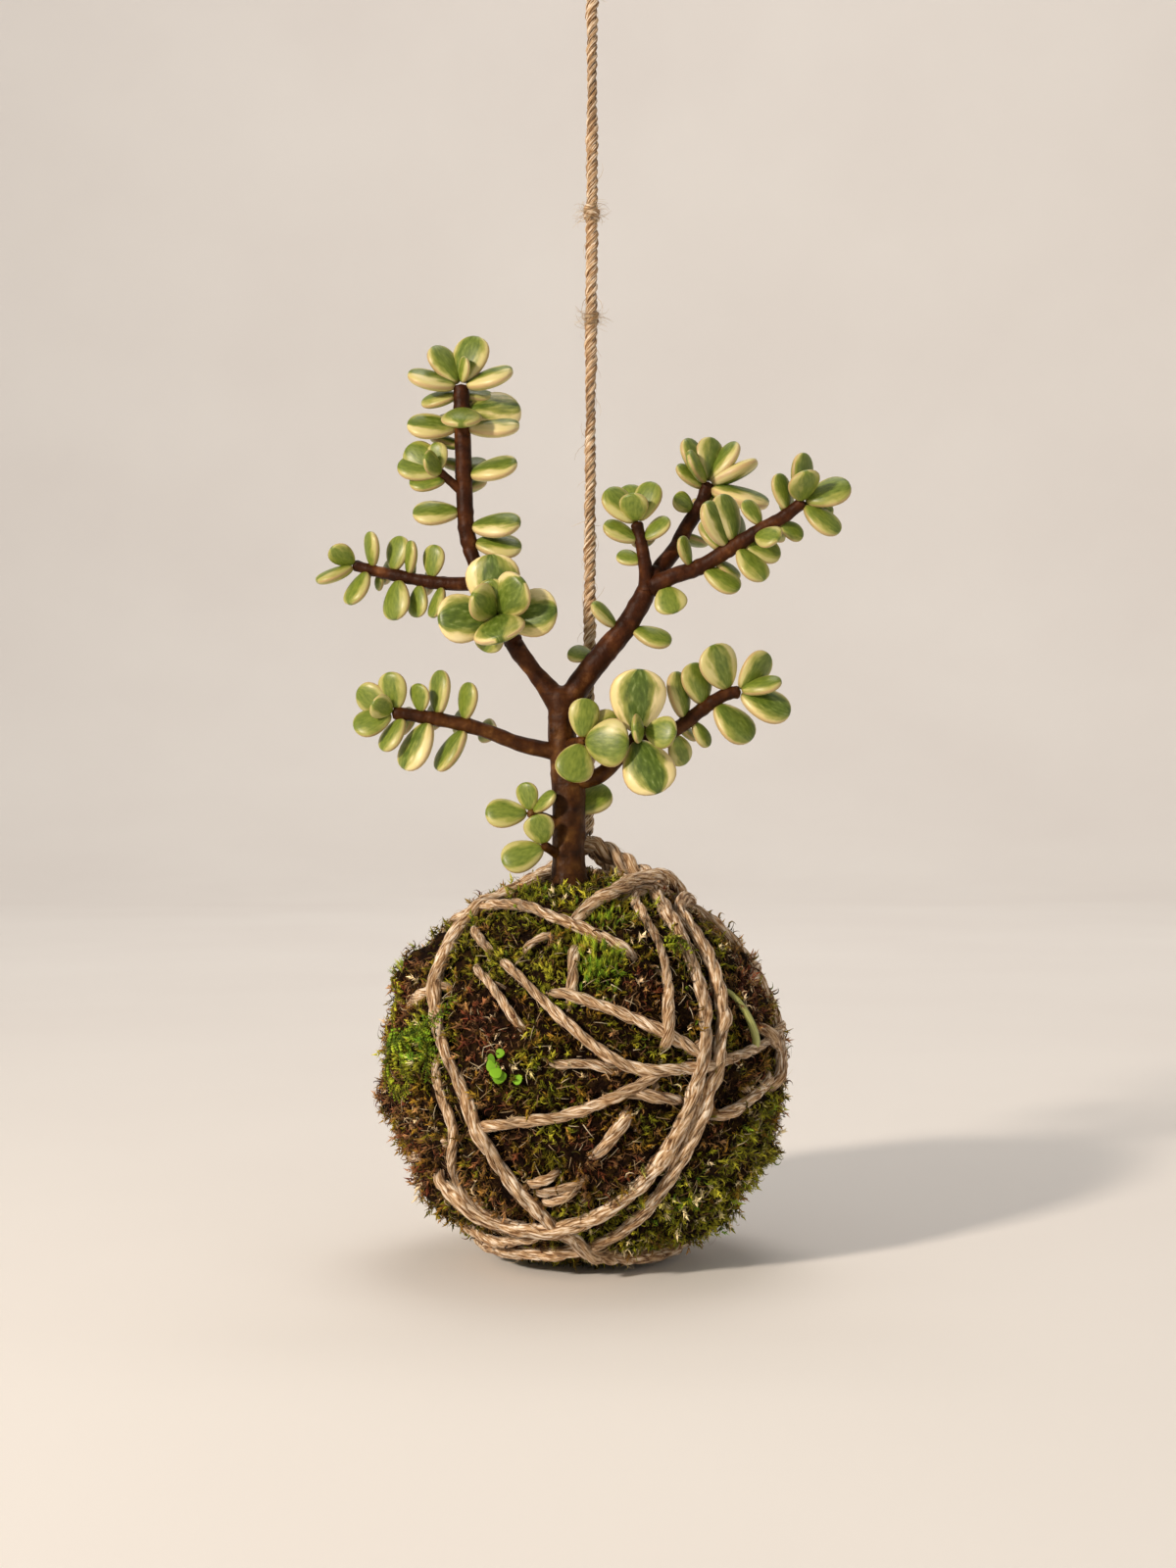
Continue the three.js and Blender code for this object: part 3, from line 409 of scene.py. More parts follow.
def angle_from(directions, right, up):
    """How many degrees directions are away from that one."""
    return np.degrees(np.arccos(np.clip(directions @ towards(right, up), -1, 1)))


def way_round(corners, count, closed=False):
    """The directions of a smooth way over the ball through the corners."""
    return unit(curve_through(towards(*np.array(corners, float).T), count, closed))


def on_moss(directions, lift):
    """Places on the ball in those directions, lifted by some millimetres off the moss under the twine."""
    size = np.array([MOSS_RADIUS, MOSS_RADIUS, MOSS_HEIGHT])
    return CENTRE + directions * size + directions * np.reshape(lift, (-1, 1))


def only(kept, *arrays):
    return [each[kept] for each in arrays]


# Making pieces
DOUBLES = 0.002 * MM
COLOURS = {"data_type": "RGBA", "out": "Result"}  # of a mix of two colours


def linear(code):
    """A colour written as sRGB hex, as linear red, green, blue and alpha."""
    parts = [int(code[i:i + 2], 16) / 255 for i in (1, 3, 5)]
    return (*[p / 12.92 if p <= 0.04045 else ((p + 0.055) / 1.055) ** 2.4 for p in parts], 1)


def add_node(tree, kind, *values, out=0, stops=(), **given):
    """Adds a node and gives one of its outputs. values and the capitalised names given are its inputs, as
    plain values or as the sockets that feed them, the other names its settings, and stops a ramp's (place,
    hex)."""
    made = tree.nodes.new("ShaderNode" + kind)
    for name in filter(str.islower, given):
        setattr(made, name, given[name])
    named = [(name.replace("_", " "), value) for name, value in given.items() if not name.islower()]
    for name, value in [*enumerate(values), *named]:
        if isinstance(value, bpy.types.NodeSocket):
            tree.links.new(value, made.inputs[name])
        else:
            made.inputs[name].default_value = value
    for place, _ in stops[2:]:
        made.color_ramp.elements.new(place)
    for i, (place, code) in enumerate(stops):
        made.color_ramp.elements[i].position = place
        made.color_ramp.elements[i].color = linear(code)
    return made.outputs if out is None else made.outputs[out]


def new_material(name, **shader):
    """A material whose shader has the plain values on its own sockets, and what adds nodes to it."""
    made = bpy.data.materials.new(name)
    made.use_nodes = True
    for socket, value in shader.items():
        made.node_tree.nodes["Principled BSDF"].inputs[socket.replace("_", " ")].default_value = value
    return made, partial(add_node, made.node_tree)


def dressed(made, colour, height=None, relief=None, roughness=None):
    """Feeds a material's colour and roughness, and its relief: a height, a strength and a depth."""
    sources = {"Base Color": colour, "Roughness": roughness}
    if relief:
        strength, depth = relief
        sources["Normal"] = add_node(made.node_tree, "Bump", Height=height, Strength=strength, Distance=depth)
    for socket, source in sources.items():
        if source is not None:
            made.node_tree.links.new(source, made.node_tree.nodes["Principled BSDF"].inputs[socket])
    return made


def deselect():
    bpy.ops.object.select_all(action="DESELECT")


@contextmanager
def editing(made):
    """Edit mode for one object, with all of it selected at first."""
    bpy.context.view_layer.objects.active = made
    bpy.ops.object.mode_set(mode="EDIT")
    bpy.ops.mesh.select_all(action="SELECT")
    yield
    bpy.ops.object.mode_set(mode="OBJECT")


def modified(made, kind, **settings):
    """Gives an object a modifier with those settings and applies it."""
    bpy.context.view_layer.objects.active = made
    modifier = made.modifiers.new(kind.lower(), kind)
    for name, value in settings.items():
        setattr(modifier, name, value)
    bpy.ops.object.modifier_apply(modifier=modifier.name)


def numbers_of(rows, key, kind=float):
    """Three numbers from each point or triangle of a mesh."""
    size = 3 if key in ("co", "normal") else 1
    found = np.empty(len(rows) * size, kind)
    rows.foreach_get(key, found)
    return found.reshape(-1, 3)


def mark(mesh, values):
    """Gives a mesh's points named numbers or vectors, which its materials read."""
    for key, numbers in values.items():
        kind, field = ("FLOAT", "value") if numbers.ndim == 1 else ("FLOAT_VECTOR", "vector")
        mesh.attributes.new(key, kind, "POINT").data.foreach_set(field, numbers.astype(np.float32).ravel())


def belongs(made, node):
    """Puts a piece on the one body, in place of a solid."""
    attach(made, "root")
    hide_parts(node)
    return made


def piece_of(name, shape, materials, node, values, worn=None):
    """A finished piece from places in millimetres and faces that all have as many corners. values are named
    numbers or vectors for each point, and worn is each face's material."""
    places, faces = shape
    mesh = bpy.data.meshes.new(name)
    mesh.vertices.add(len(places))
    mesh.vertices.foreach_set("co", (np.asarray(places) * MM).ravel())
    mesh.loops.add(faces.size)
    mesh.loops.foreach_set("vertex_index", faces.ravel())
    mesh.polygons.add(len(faces))
    mesh.polygons.foreach_set("loop_start", np.arange(0, faces.size, faces.shape[1]))
    mesh.update(calc_edges=True)
    mesh.validate()
    mesh.shade_smooth()
    mark(mesh, values)
    for material in materials:
        mesh.materials.append(material)
    if worn is not None:
        mesh.polygons.foreach_set("material_index", worn)
    made = bpy.data.objects.new(name, mesh)
    bpy.context.scene.collection.objects.link(made)
    return belongs(made, node)


def merged(made):
    """Closes the ends of a piece's tubes, whose last rings are drawn together to a point."""
    deselect()
    made.select_set(True)
    with editing(made):
        bpy.ops.mesh.remove_doubles(threshold=DOUBLES)
    return made


def shape_of(made, bent=0, rings=()):
    """The points and triangles of an object that stands along its Z axis, cut round at some heights and
    bent over by some degrees. The object is removed."""
    if rings:
        with editing(made):
            for height in rings:
                bpy.ops.mesh.select_all(action="SELECT")
                bpy.ops.mesh.bisect(plane_co=(0, 0, height), plane_no=(0, 0, 1))
    if bent:
        modified(made, "SIMPLE_DEFORM", deform_method="BEND", deform_axis="X", angle=math.radians(bent))
    with editing(made):
        bpy.ops.mesh.quads_convert_to_tris()
    mesh = made.data
    shape = numbers_of(mesh.vertices, "co"), numbers_of(mesh.loops, "vertex_index", int)
    bpy.data.objects.remove(made)
    bpy.data.meshes.remove(mesh)
    return shape


def copies(shape, origins, frames):
    """Many copies of a shape as one set of points and faces. A frame's columns are a copy's scaled axes."""
    places, faces = shape
    moved = np.einsum("nij,vj->nvi", frames, places) + origins[:, None, :]
    numbered = faces[None] + (np.arange(len(origins)) * len(places))[:, None, None]
    return moved.reshape(-1, 3), numbered.reshape(-1, faces.shape[1])


def several(parts):
    """Several sets of points and faces as one."""
    starts = np.cumsum([0] + [len(part[0]) for part in parts])
    faces = [part[1] + start for part, start in zip(parts, starts)]
    return np.vstack([part[0] for part in parts]), np.vstack(faces)


def tube(line, outward, radii, sides):
    """A tube round a line, with its first side turned outward. Gives its points, faces and fibre places."""
    tangent = unit(np.gradient(line, axis=0))
    out = square_to(tangent, outward)
    side = np.cross(out, tangent)
    round_it = np.arange(sides) / sides * 2 * math.pi
    ring = out[:, None] * np.cos(round_it)[None, :, None] + side[:, None] * np.sin(round_it)[None, :, None]
    places = (line[:, None] + ring * np.reshape(radii, (-1, 1, 1))).reshape(-1, 3)
    start = np.arange(len(line) - 1)[:, None] * sides
    here, after = np.arange(sides), (np.arange(sides) + 1) % sides
    faces = np.stack([start + here, start + sides + here, start + sides + after, start + after], axis=-1)
    turned = np.tile(round_it, len(line))
    fibres = np.column_stack([np.cos(turned), np.sin(turned), np.repeat(travelled(line), sides)])
    return places, faces.reshape(-1, 4), fibres


# The jute, in millimetres
FIBRE_TURN = 16  # the length in which a fibre turns once round its own ply
PLY_UNEVEN = 0.15
GIRTH_UNEVEN = 0.12
RIDGE = 0.11
END_TAPER = 2
TWINE_WIDE = 3.9
TWINE_PITCH = 19
TWINE_SPACING = 1.2
GROWN_THIN = 0.5  # how much thinner a strand is where the moss has grown over it
CROSSING_REACH = 3.2
CROSSING_LIFT = 1.2
TWINE_LIFT = 1.1  # of a strand's middle above the moss under it
GROWN_OVER = 3.9  # how far a strand lies below the moss where the moss has grown over it
FIBRE_WIDE = 0.13
FIBRE_SHAPE_WIDE = 0.024


def rope(line, outward, wide, thick, pitch, seed, closed=False, plies=3, sides=9, ply_share=0.33, thinned=1):
    """Plies twisted round a line, as wide and thick as given, and thinned by a share along it. Gives
    points, faces, fibre places, and how far each point is out of the rope's middle, as a share."""
    far = travelled(line)
    turns = max(1, round(far[-1] / pitch)) if closed else far[-1] / pitch
    tangent = unit(np.gradient(line, axis=0))
    girth = (1 + GIRTH_UNEVEN * ripples(line, 16, seed + 3)) * thinned
    ends = np.ones(len(line))
    if closed:
        tangent[0] = tangent[-1] = unit(line[1] - line[-2])
        girth[-1] = girth[0]
    else:
        ends = np.clip(np.minimum(far, far[-1] - far) / END_TAPER, 0, 1) ** 0.5
    out = square_to(tangent, outward)
    side = np.cross(tangent, out)
    parts = []
    for ply in range(plies):
        twist = 2 * math.pi * (turns * far / far[-1] + ply / plies)
        spoke = out * np.cos(twist)[:, None] * (thick / wide) + side * np.sin(twist)[:, None]
        reach = wide * (0.5 - ply_share) * girth * blend(0.6, 1, ends)
        centre = line + spoke * reach[:, None]
        radii = wide * ply_share * girth * (1 + PLY_UNEVEN * ripples(centre, 4.5, seed + ply)) * ends
        points, faces, fibres = tube(centre, spoke, radii, sides)
        turned = np.arctan2(fibres[:, 1], fibres[:, 0]) - 2 * math.pi * fibres[:, 2] / FIBRE_TURN
        fibres[:, 0], fibres[:, 1] = np.cos(turned), np.sin(turned)
        ridges = ripples(fibres * [1.6, 1.6, 0.16], 1, seed * 5 + ply)
        middles = np.repeat(centre, sides, axis=0)
        points = middles + (points - middles) * (1 + RIDGE * ridges[:, None])
        if closed:
            points[-sides:] = points[:sides]
        fibres[:, 2] += seed * 7.3 + ply * 31
        rises = np.linalg.norm(points - np.repeat(line, sides, axis=0), axis=1) / (wide / 2)
        parts.append((points, faces, fibres, rises))
    fibres, rises = (np.concatenate([part[i] for part in parts]) for i in (2, 3))
    return (*several(parts), fibres, rises)


def ropes_piece(name, parts, jute, node):
    """One piece from several ropes."""
    values = {"fibre_place": np.vstack([part[2] for part in parts]),
              "fibre_rise": np.concatenate([part[3] for part in parts])}
    return merged(piece_of(name, several(parts), [jute], node, values))


def strands():
    """The middle lines of all the twine on the ball, laid one on another. A strand is its thickness share,
    its line, its outward directions, whether it is closed, and how far the moss has grown over each
    place."""
    laid, lines = np.empty((0, 3)), []
    short = [(share, corners, []) for share, corners in SHORT_STRANDS]
    for number, (share, corners, grown) in enumerate(short + TURNS):
        closed = number >= len(short)
        rough = way_round(corners, 500, closed)
        if closed:
            rough = np.vstack([rough, rough[:1]])
        line = spaced(on_moss(rough, 0), TWINE_SPACING)
        out = unit(line - CENTRE)
        far = travelled(line)
        lift = TWINE_LIFT * blend(0.7, 1, share) + 0.3 * ripples(line, 14, number)
        if closed:
            under = np.zeros(len(out))
            for right, up, radius in grown + [LEFT_SIDE_GROWN]:
                under = np.maximum(under, 1 - rise(angle_from(out, right, up), 0.25 * radius, radius))
        else:
            under = 1 - rise(np.minimum(far, far[-1] - far), 0, min(9, 0.36 * far[-1]))
        if len(laid):
            nearest = np.min(np.linalg.norm(line[:, None] - laid[None], axis=2), axis=1)
            lift += CROSSING_LIFT * np.exp(-((nearest / CROSSING_REACH) ** 2))
        lift -= GROWN_OVER * under
        if closed:
            lift[-1] = lift[0]
        laid = np.vstack([laid, line[under < 0.5]])
        lines.append((share, line + out * lift[:, None], out, closed, under))
    return lines


def wound(middle, radius, height, turns, start=0.0):
    """A short helix round the cord, for a knot."""
    share = np.linspace(0, 1, round(turns * 22))
    turned = 2 * math.pi * (turns * share + start)
    away = np.column_stack([np.cos(turned), np.sin(turned), np.zeros(len(share))])
    line = np.array(middle) + away * radius
    line[:, 2] += height * (share - 0.5)
    return line, away


def fibre_shape():
    """One stray fibre, a unit long, bent like an arc."""
    deselect()
    bpy.ops.mesh.primitive_cone_add(vertices=3, radius1=FIBRE_SHAPE_WIDE / 2, radius2=0.004, depth=1,
                                    location=(0, 0, 0.5))
    bpy.ops.object.transform_apply(location=True)
    return shape_of(bpy.context.active_object, 75, (0.33, 0.67))


def stray_fibres(lines, count, longest, lowest, seed, spread):
    """Fibres that stand out of lines of rope. A line is its points, its outward directions and its radius."""
    draws = np.random.default_rng(seed)
    weights = np.array([len(line) for line, _, _ in lines], float)
    which = draws.choice(len(lines), count, p=weights / weights.sum())
    origins, frames = np.empty((count, 3)), np.empty((count, 3, 3))
    for i, pick in enumerate(which):
        line, out, radius = lines[pick]
        at = draws.integers(1, len(line) - 1)
        tangent = unit(line[at + 1] - line[at - 1]) * draws.choice((-1, 1))
        turned = draws.uniform(-1.5, 1.5)
        away = out[at] * math.cos(turned) + np.cross(tangent, out[at]) * math.sin(turned)
        axis = unit(tangent * draws.uniform(0.4, 1.6) + away * spread + draws.normal(size=3) * 0.25)
        first = unit(np.cross(axis, away) + 0.001)
        length = blend(0.25, 1, draws.random() ** 2) * longest
        wide = FIBRE_WIDE * draws.uniform(0.7, 1.3) / FIBRE_SHAPE_WIDE
        frames[i] = np.column_stack([first * length, np.cross(axis, first) * length, axis * length])
        frames[i][:, :2] *= min(1, wide / length)
        origins[i] = line[at] + away * radius * 0.8
    places, faces = copies(one_fibre, origins, frames)
    places[:, 2] = np.maximum(places[:, 2], lowest)
    return places, faces, np.repeat(draws.random(count), len(one_fibre[0]))


def cord_pieces():
    """The hanging cord, its fibres, its knots and the loop at its end."""
    line = spaced(curve_through(CORD_ROUTE, 200), 0.7)
    front = np.tile([0.0, -1.0, 0.0], (len(line), 1))
    parts = [rope(line, front, CORD_THICK, CORD_THICK, 6.6, 3, sides=8, ply_share=0.25)]
    fuzzy = [(line, front, CORD_THICK / 2)] * 3
    for number, knot in enumerate(CORD_KNOTS):
        wrapped, away = wound(knot, 1.15, 3.6, 2.2, 0.3 + 0.4 * number)
        parts.append(rope(wrapped, away, 1.9, 1.9, 5, 8 + number, sides=6))
        fuzzy += [(wrapped, away, 0.9)] * 12
    hanging = ropes_piece("hanging_jute_cord", parts, cord_jute, "hanging_cord")

    x, y, z = CORD_TOP
    right = [(x + side, y, z + up) for side, up in LOOP_HALF]
    left = [(x - side, y, z + up) for side, up in LOOP_HALF[1:-1]]
    rough = curve_through(right + left[::-1], 300, closed=True)
    ring = spaced(np.vstack([rough, rough[:1]]), 0.7)
    across = np.tile([0.0, -1.0, 0.0], (len(ring), 1))
    tied, away = wound((x, y, z + 1.8), 1.8, 5.4, 3.2)
    parts = [rope(ring, across, CORD_THICK * 0.95, CORD_THICK * 0.95, 6.6, 4, closed=True, ply_share=0.25),
             rope(tied, away, 2.7, 2.7, 7, 5)]
    loop = ropes_piece("cord_end_loop", parts, cord_jute, "cord_loop")

    fuzzy += [(ring, across, CORD_THICK / 2), (tied, away, 1.3)]
    *shape, draws = stray_fibres(fuzzy, 520, 6.5, CORD_FOOT[2], 51, 0.5)
    fuzz = piece_of("cord_fibres", shape, [loose_jute], "hanging_cord", {"strand_draw": draws})


def binding_pieces(lines):
    """The twine round the ball, the legs that gather it to the cord, and its stray fibres."""
    parts, fuzzy = [], []
    for number, (share, line, out, closed, under) in enumerate(lines):
        wide = TWINE_WIDE * share
        parts.append(rope(line, out, wide, wide * 0.74, TWINE_PITCH * share, number + 20, closed,
                          thinned=1 - GROWN_THIN * under))
        shown = under < 0.3
        if shown.sum() > 3:
            fuzzy.append((line[shown], out[shown], wide * 0.4))
    pair = spaced(curve_through(TIE_PAIR, 120), 0.7)
    parts.append(rope(pair, unit(pair - CENTRE), 5.8, 5.4, 11, 59, plies=2, sides=14, ply_share=0.29))
    fuzzy.append((pair, unit(pair - CENTRE), 2.6))
    for number, leg in enumerate(SLING_LEGS + [ARCH_STRAND, UNDER_ARCH]):
        line = spaced(curve_through(leg, 120), 0.9)
        out = unit(line - CENTRE)
        parts.append(rope(line, out, 3.7, 3.3, 14, number + 60))
        fuzzy.append((line, out, 1.8))
    parts.append(rope(*wound((0.9, 3, 100.6), 2.3, 3.2, 2.6), 3.0, 3.0, 9, 70))
    ropes_piece("binding_jute_twine", parts, twine_jute, "binding_twine")
    stray = [stray_fibres(fuzzy, 3300, 5, 0.1, 52, 0.6), stray_fibres(fuzzy, 110, 13, 0.1, 53, 0.35)]
    piece_of("twine_fibres", several(stray), [loose_jute], "binding_twine",
             {"strand_draw": np.concatenate([draws for _, _, draws in stray])})


# The moss, in millimetres
GOLDEN_ANGLE = math.radians(137.5)
MAT_LOW = -1.5
MAT_HIGH = 0.6
MAT_THICK = 3.2
MOUTH = 5.6
FLOOR_GAP = 0.05
SPRIGS = 11500
CURLS = 7600
TUFTS = 5200
SMALL_FRONDS = 900
DEAD_FIBRES = 3200
TWINE_CLEAR = 1.2
OVER_TWINE = 1.6
BUNCH = 3  # how many fronds or hairs grow at each marked place
FEATHER_LIFT = 1.7
FEATHER_SPACING = 1.15
FEATHER_SIZES = (4.4, 2)
DIPPING = 0.42  # how far the moss has grown over the twine where tufts close over it
DIPPING_TUFTS = 15
DEAD_WIDE = 0.26
HAIR_WIDE = 0.1
# The sprigs' pieces, and the kinds of moss in each
SPRIG_BANDS = {"purple_brown": (0, 0.24), "brown": (0.24, 0.45), "olive": (0.45, 0.64), "green": (0.64, 2)}


def spikes(plan):
    """Slim open cones joined in one object. A cone is its foot's height, base, length, lean and turn."""
    deselect()
    made = []
    for height, base, length, lean, turn in plan:
        axis = np.array([math.sin(lean) * math.cos(turn), math.sin(lean) * math.sin(turn), math.cos(lean)])
        bpy.ops.mesh.primitive_cone_add(
            vertices=3, radius1=base, radius2=0, depth=length, end_fill_type="NOTHING",
            location=np.array([0, 0, height]) + axis * length / 2, rotation=(0, lean, turn),
            scale=(0.5, 1, 1))
        made.append(bpy.context.active_object)
    for one in made:
        one.select_set(True)
    bpy.ops.object.join()
    bpy.ops.object.transform_apply(location=True, rotation=True, scale=True)
    return bpy.context.active_object


def leafy_shape(stems, count, base, feet, lengths, leans, bent=0, turns=None):
    """Slim leaves as wide as base, in a spiral or at set turns, a unit long in all and bent over. The
    leaves' feet, lengths and leans in degrees are given for the lowest and the highest leaf."""
    plan = list(stems)
    for i in range(count):
        share = i / (count - 1)
        for turn in turns or (i * GOLDEN_ANGLE,):
            lean = math.radians(blend(*leans, share))
            plan.append((blend(*feet, share), base, blend(*lengths, share), lean, turn))
    return shape_of(spikes(plan), bent)


def frond_shape(pairs, leaflet, bent):
    """A flat feathery branch of moss with pairs of leaflets as wide as given."""
    return leafy_shape([(0, 0.03, 1, 0, 0)], pairs, leaflet, (0.1, 0.9), (0.34, 0.14), (50, 50), bent,
                       (0, math.pi))


def moss_kind(directions):
    """The kind of moss in each direction, from 0, dead and brown, to 1, fresh and green."""
    kind = 0.47 + 0.2 * ripples(directions, 0.8, 5) + 0.14 * ripples(directions, 0.28, 6)
    for right, up, radius, wanted in PATCHES:
        ragged = ripples(directions, 0.2, int(abs(right)) + 9)
        edge = angle_from(directions, right, up) + 0.2 * radius * ragged
        kind = blend(kind, wanted, 0.85 * (1 - rise(edge, 0.45 * radius, 1.1 * radius)))
    return np.clip(kind, 0, 1)


def twine_tree(lines):
    """A search tree of the places on the strands that lie on top of the moss, for how near the twine is."""
    places = np.vstack([line[under < 0.18] for _, line, _, _, under in lines])
    tree = kdtree.KDTree(len(places))
    for i, place in enumerate(places):
        tree.insert(place, i)
    tree.balance()
    return tree


def hollows(directions):
    """How far the mat rises or sinks there, in clumps of about 9 mm and 4 mm."""
    return 1.0 * ripples(directions, 0.2, 21) + 0.8 * ripples(directions, 0.085, 22)


def mat_lift(directions):
    """How far the top of the moss mat is above the twine's bed, swollen where no twine holds it down, and
    how far away the twine is."""
    nearest = np.array([near_twine.find(place)[2] for place in on_moss(directions, TWINE_LIFT)])
    swollen = rise(nearest, 1, 4.4)
    high = rise(directions[:, 2], -0.95, -0.72)
    uneven = hollows(directions)
    for right, up, radius, height in CLUMPS:
        uneven += height * np.exp(-((angle_from(directions, right, up) / radius) ** 2))
    return MAT_LOW + ((MAT_HIGH - MAT_LOW) * swollen + uneven * blend(0.3, 1, swollen)) * high, nearest


def clear_of_trunk(origins, room):
    """Which places are free of the trunk's foot."""
    away = np.linalg.norm(origins[:, :2] - TRUNK_HOLE, axis=1)
    return ~((away < room) & (origins[:, 2] > CENTRE[2]))


def moss_mat(material):
    """The mat of old moss and peat that the tufts grow from, hollow and open round the trunk."""
    deselect()
    bpy.ops.mesh.primitive_ico_sphere_add(subdivisions=5, radius=1)
    made = bpy.context.active_object
    made.name = "moss_mat"
    directions = unit(numbers_of(made.data.vertices, "co"))
    places = on_moss(directions, mat_lift(directions)[0])
    places[:, 2] = np.maximum(places[:, 2], FLOOR_GAP)
    made.data.vertices.foreach_set("co", (places * MM).ravel())
    with editing(made):
        bpy.ops.mesh.select_all(action="DESELECT")
    outside = clear_of_trunk(places, MOUTH)
    for face in made.data.polygons:
        face.select = not any(outside[v] for v in face.vertices)
    bpy.ops.object.mode_set(mode="EDIT")
    bpy.ops.mesh.select_mode(type="FACE")
    bpy.ops.mesh.delete(type="FACE")
    bpy.ops.object.mode_set(mode="OBJECT")
    modified(made, "SOLIDIFY", thickness=MAT_THICK * MM, offset=-1)
    made.data.materials.append(material)
    made.data.shade_smooth()
    belongs(made, "moss_shell")


def scatter(shape, origins, axes, lengths, wide, draws):
    """Copies of a moss shape, each along its axis with a random turn. wide is their width share."""
    turn = unit(np.cross(axes, draws.normal(size=axes.shape)))
    other = np.cross(axes, turn)
    scale = lengths[:, None]
    frames = np.stack([turn * scale * wide, other * scale * wide, axes * scale], axis=2)
    places, faces = copies(shape, origins, frames)
    low = places[:, 2] < FLOOR_GAP
    places[low, 2] = FLOOR_GAP + 0.1 * draws.random(low.sum())
    return places, faces


def moss_piece(name, shape, made, kinds, draws, brightest=1, directions=None, uneven=0):
    """A piece of moss from copies of a shape. Its material reads the kind, how near the tip, and one draw for
    each copy, which is made less in a hollow as painted shade there."""
    if uneven:
        kinds = kinds + uneven * draws.normal(size=len(kinds))
    draw = draws.random(len(kinds)) * brightest
    if directions is not None:
        # painted shade: copies that lie in a hollow get a lower draw, which the material shows darker
        draw *= blend(0.3, 1, rise(hollows(directions), -1.5, 0.7))
    each = len(shape[0])
    values = {"moss_kind": np.repeat(np.clip(kinds, 0, 1), each), "moss_draw": np.repeat(draw, each),
              "moss_tip": np.tile(np.clip(shape[0][:, 2], 0, 1), len(kinds))}
    piece_of("moss_" + name, made, [moss_leaf], "moss_shell", values)


def spiral(count, draws):
    """Directions spread evenly all over the ball, with a little play."""
    up = 1 - 2 * (np.arange(count) + 0.5) / count
    turned = np.arange(count) * GOLDEN_ANGLE
    level = np.sqrt(1 - up * up)
    even = np.column_stack([level * np.cos(turned), level * np.sin(turned), up])
    return unit(even + draws.normal(size=(count, 3)) * 0.012)


def sprig_pieces(draws):
    """Curled sprigs with small slim leaves, which lie in drifts all over the mat."""
    directions = spiral(SPRIGS, draws)
    lift, nearest = mat_lift(directions)
    origins = on_moss(directions, lift - 0.2)
    kinds = np.clip(moss_kind(directions) + draws.normal(size=SPRIGS) * 0.12, 0, 1)
    kept = clear_of_trunk(origins, 4.8) & (directions[:, 2] > -0.985)
    kept &= (nearest > TWINE_CLEAR) | (draws.random(SPRIGS) < 0.2)
    directions, origins, kinds, nearest = only(kept, directions, origins, kinds, nearest)
    combed = np.column_stack([ripples(directions, 0.14, seed) for seed in (31, 32, 33)])
    axes = square_to(directions, combed + 0.6 * draws.normal(size=directions.shape))
    standing = draws.uniform(-0.05, 0.7, (len(axes), 1)) + 0.2 * (kinds > 0.66)[:, None]
    axes = unit(axes + directions * standing)
    lengths = blend(2, 5.2, draws.random(len(kinds)) ** 1.6) * blend(0.7, 1, rise(nearest, 1.2, 4))
    sprig = leafy_shape([(0, 0.05, 0.96, 0, 0)], 8, 0.095, (0.04, 0.8), (0.46, 0.34), (68, 30), 95)
    for name, (least, most) in SPRIG_BANDS.items():
        mine = (kinds >= least) & (kinds < most)
        made = scatter(sprig, *only(mine, origins, axes, lengths), 0.85, draws)
        moss_piece("sprigs_" + name, sprig, made, kinds[mine], draws, directions=directions[mine])


def curl_piece(draws):
    """Single curled leaves that lie all over the moss in every direction, dry ones as well. A few lie
    across the twine."""
    directions = unit(draws.normal(size=(CURLS, 3)))
    lift, nearest = mat_lift(directions)
    origins = on_moss(directions, lift + draws.uniform(0.1, 1.1, CURLS))
    kept = (directions[:, 2] > -0.96) & clear_of_trunk(origins, 5.4)
    over = nearest < TWINE_CLEAR - 0.3
    origins += directions * np.where(over, OVER_TWINE - lift, 0)[:, None]
    kept &= ~over | (draws.random(CURLS) < 0.16)
    directions, origins = only(kept, directions, origins)
    kinds = moss_kind(directions) + draws.normal(size=len(directions)) * 0.2 - 0.08
    axes = square_to(directions, draws.normal(size=directions.shape))
    axes = unit(axes + directions * draws.uniform(0, 0.9, (len(axes), 1)))
    curl = shape_of(spikes([(0, 0.1, 1, 0, 0)]), 150, (0.3, 0.55, 0.78))
    made = scatter(curl, origins, axes, draws.uniform(2, 5, len(axes)), 0.75, draws)
    moss_piece("curled_leaves", curl, made, kinds, draws, directions=directions)


def tuft_piece(draws):
    """Upright tufts of fresh leaves, where the moss is greenest."""
    directions = spiral(TUFTS, draws)
    kinds = moss_kind(directions)
    lift, nearest = mat_lift(directions)
    origins = on_moss(directions, lift - 0.3)
    kept = (kinds > 0.58 + 0.2 * draws.random(TUFTS)) & (nearest > TWINE_CLEAR) & (directions[:, 2] > -0.9)
    directions, origins, kinds = only(kept & clear_of_trunk(origins, 5.4), directions, origins, kinds)
    axes = unit(directions + 0.3 * draws.normal(size=directions.shape))
    made = scatter(tuft, origins, axes, draws.uniform(1.7, 2.9, len(kinds)), 1, draws)
    moss_piece("tufts_fresh", tuft, made, kinds, draws, uneven=0.08)


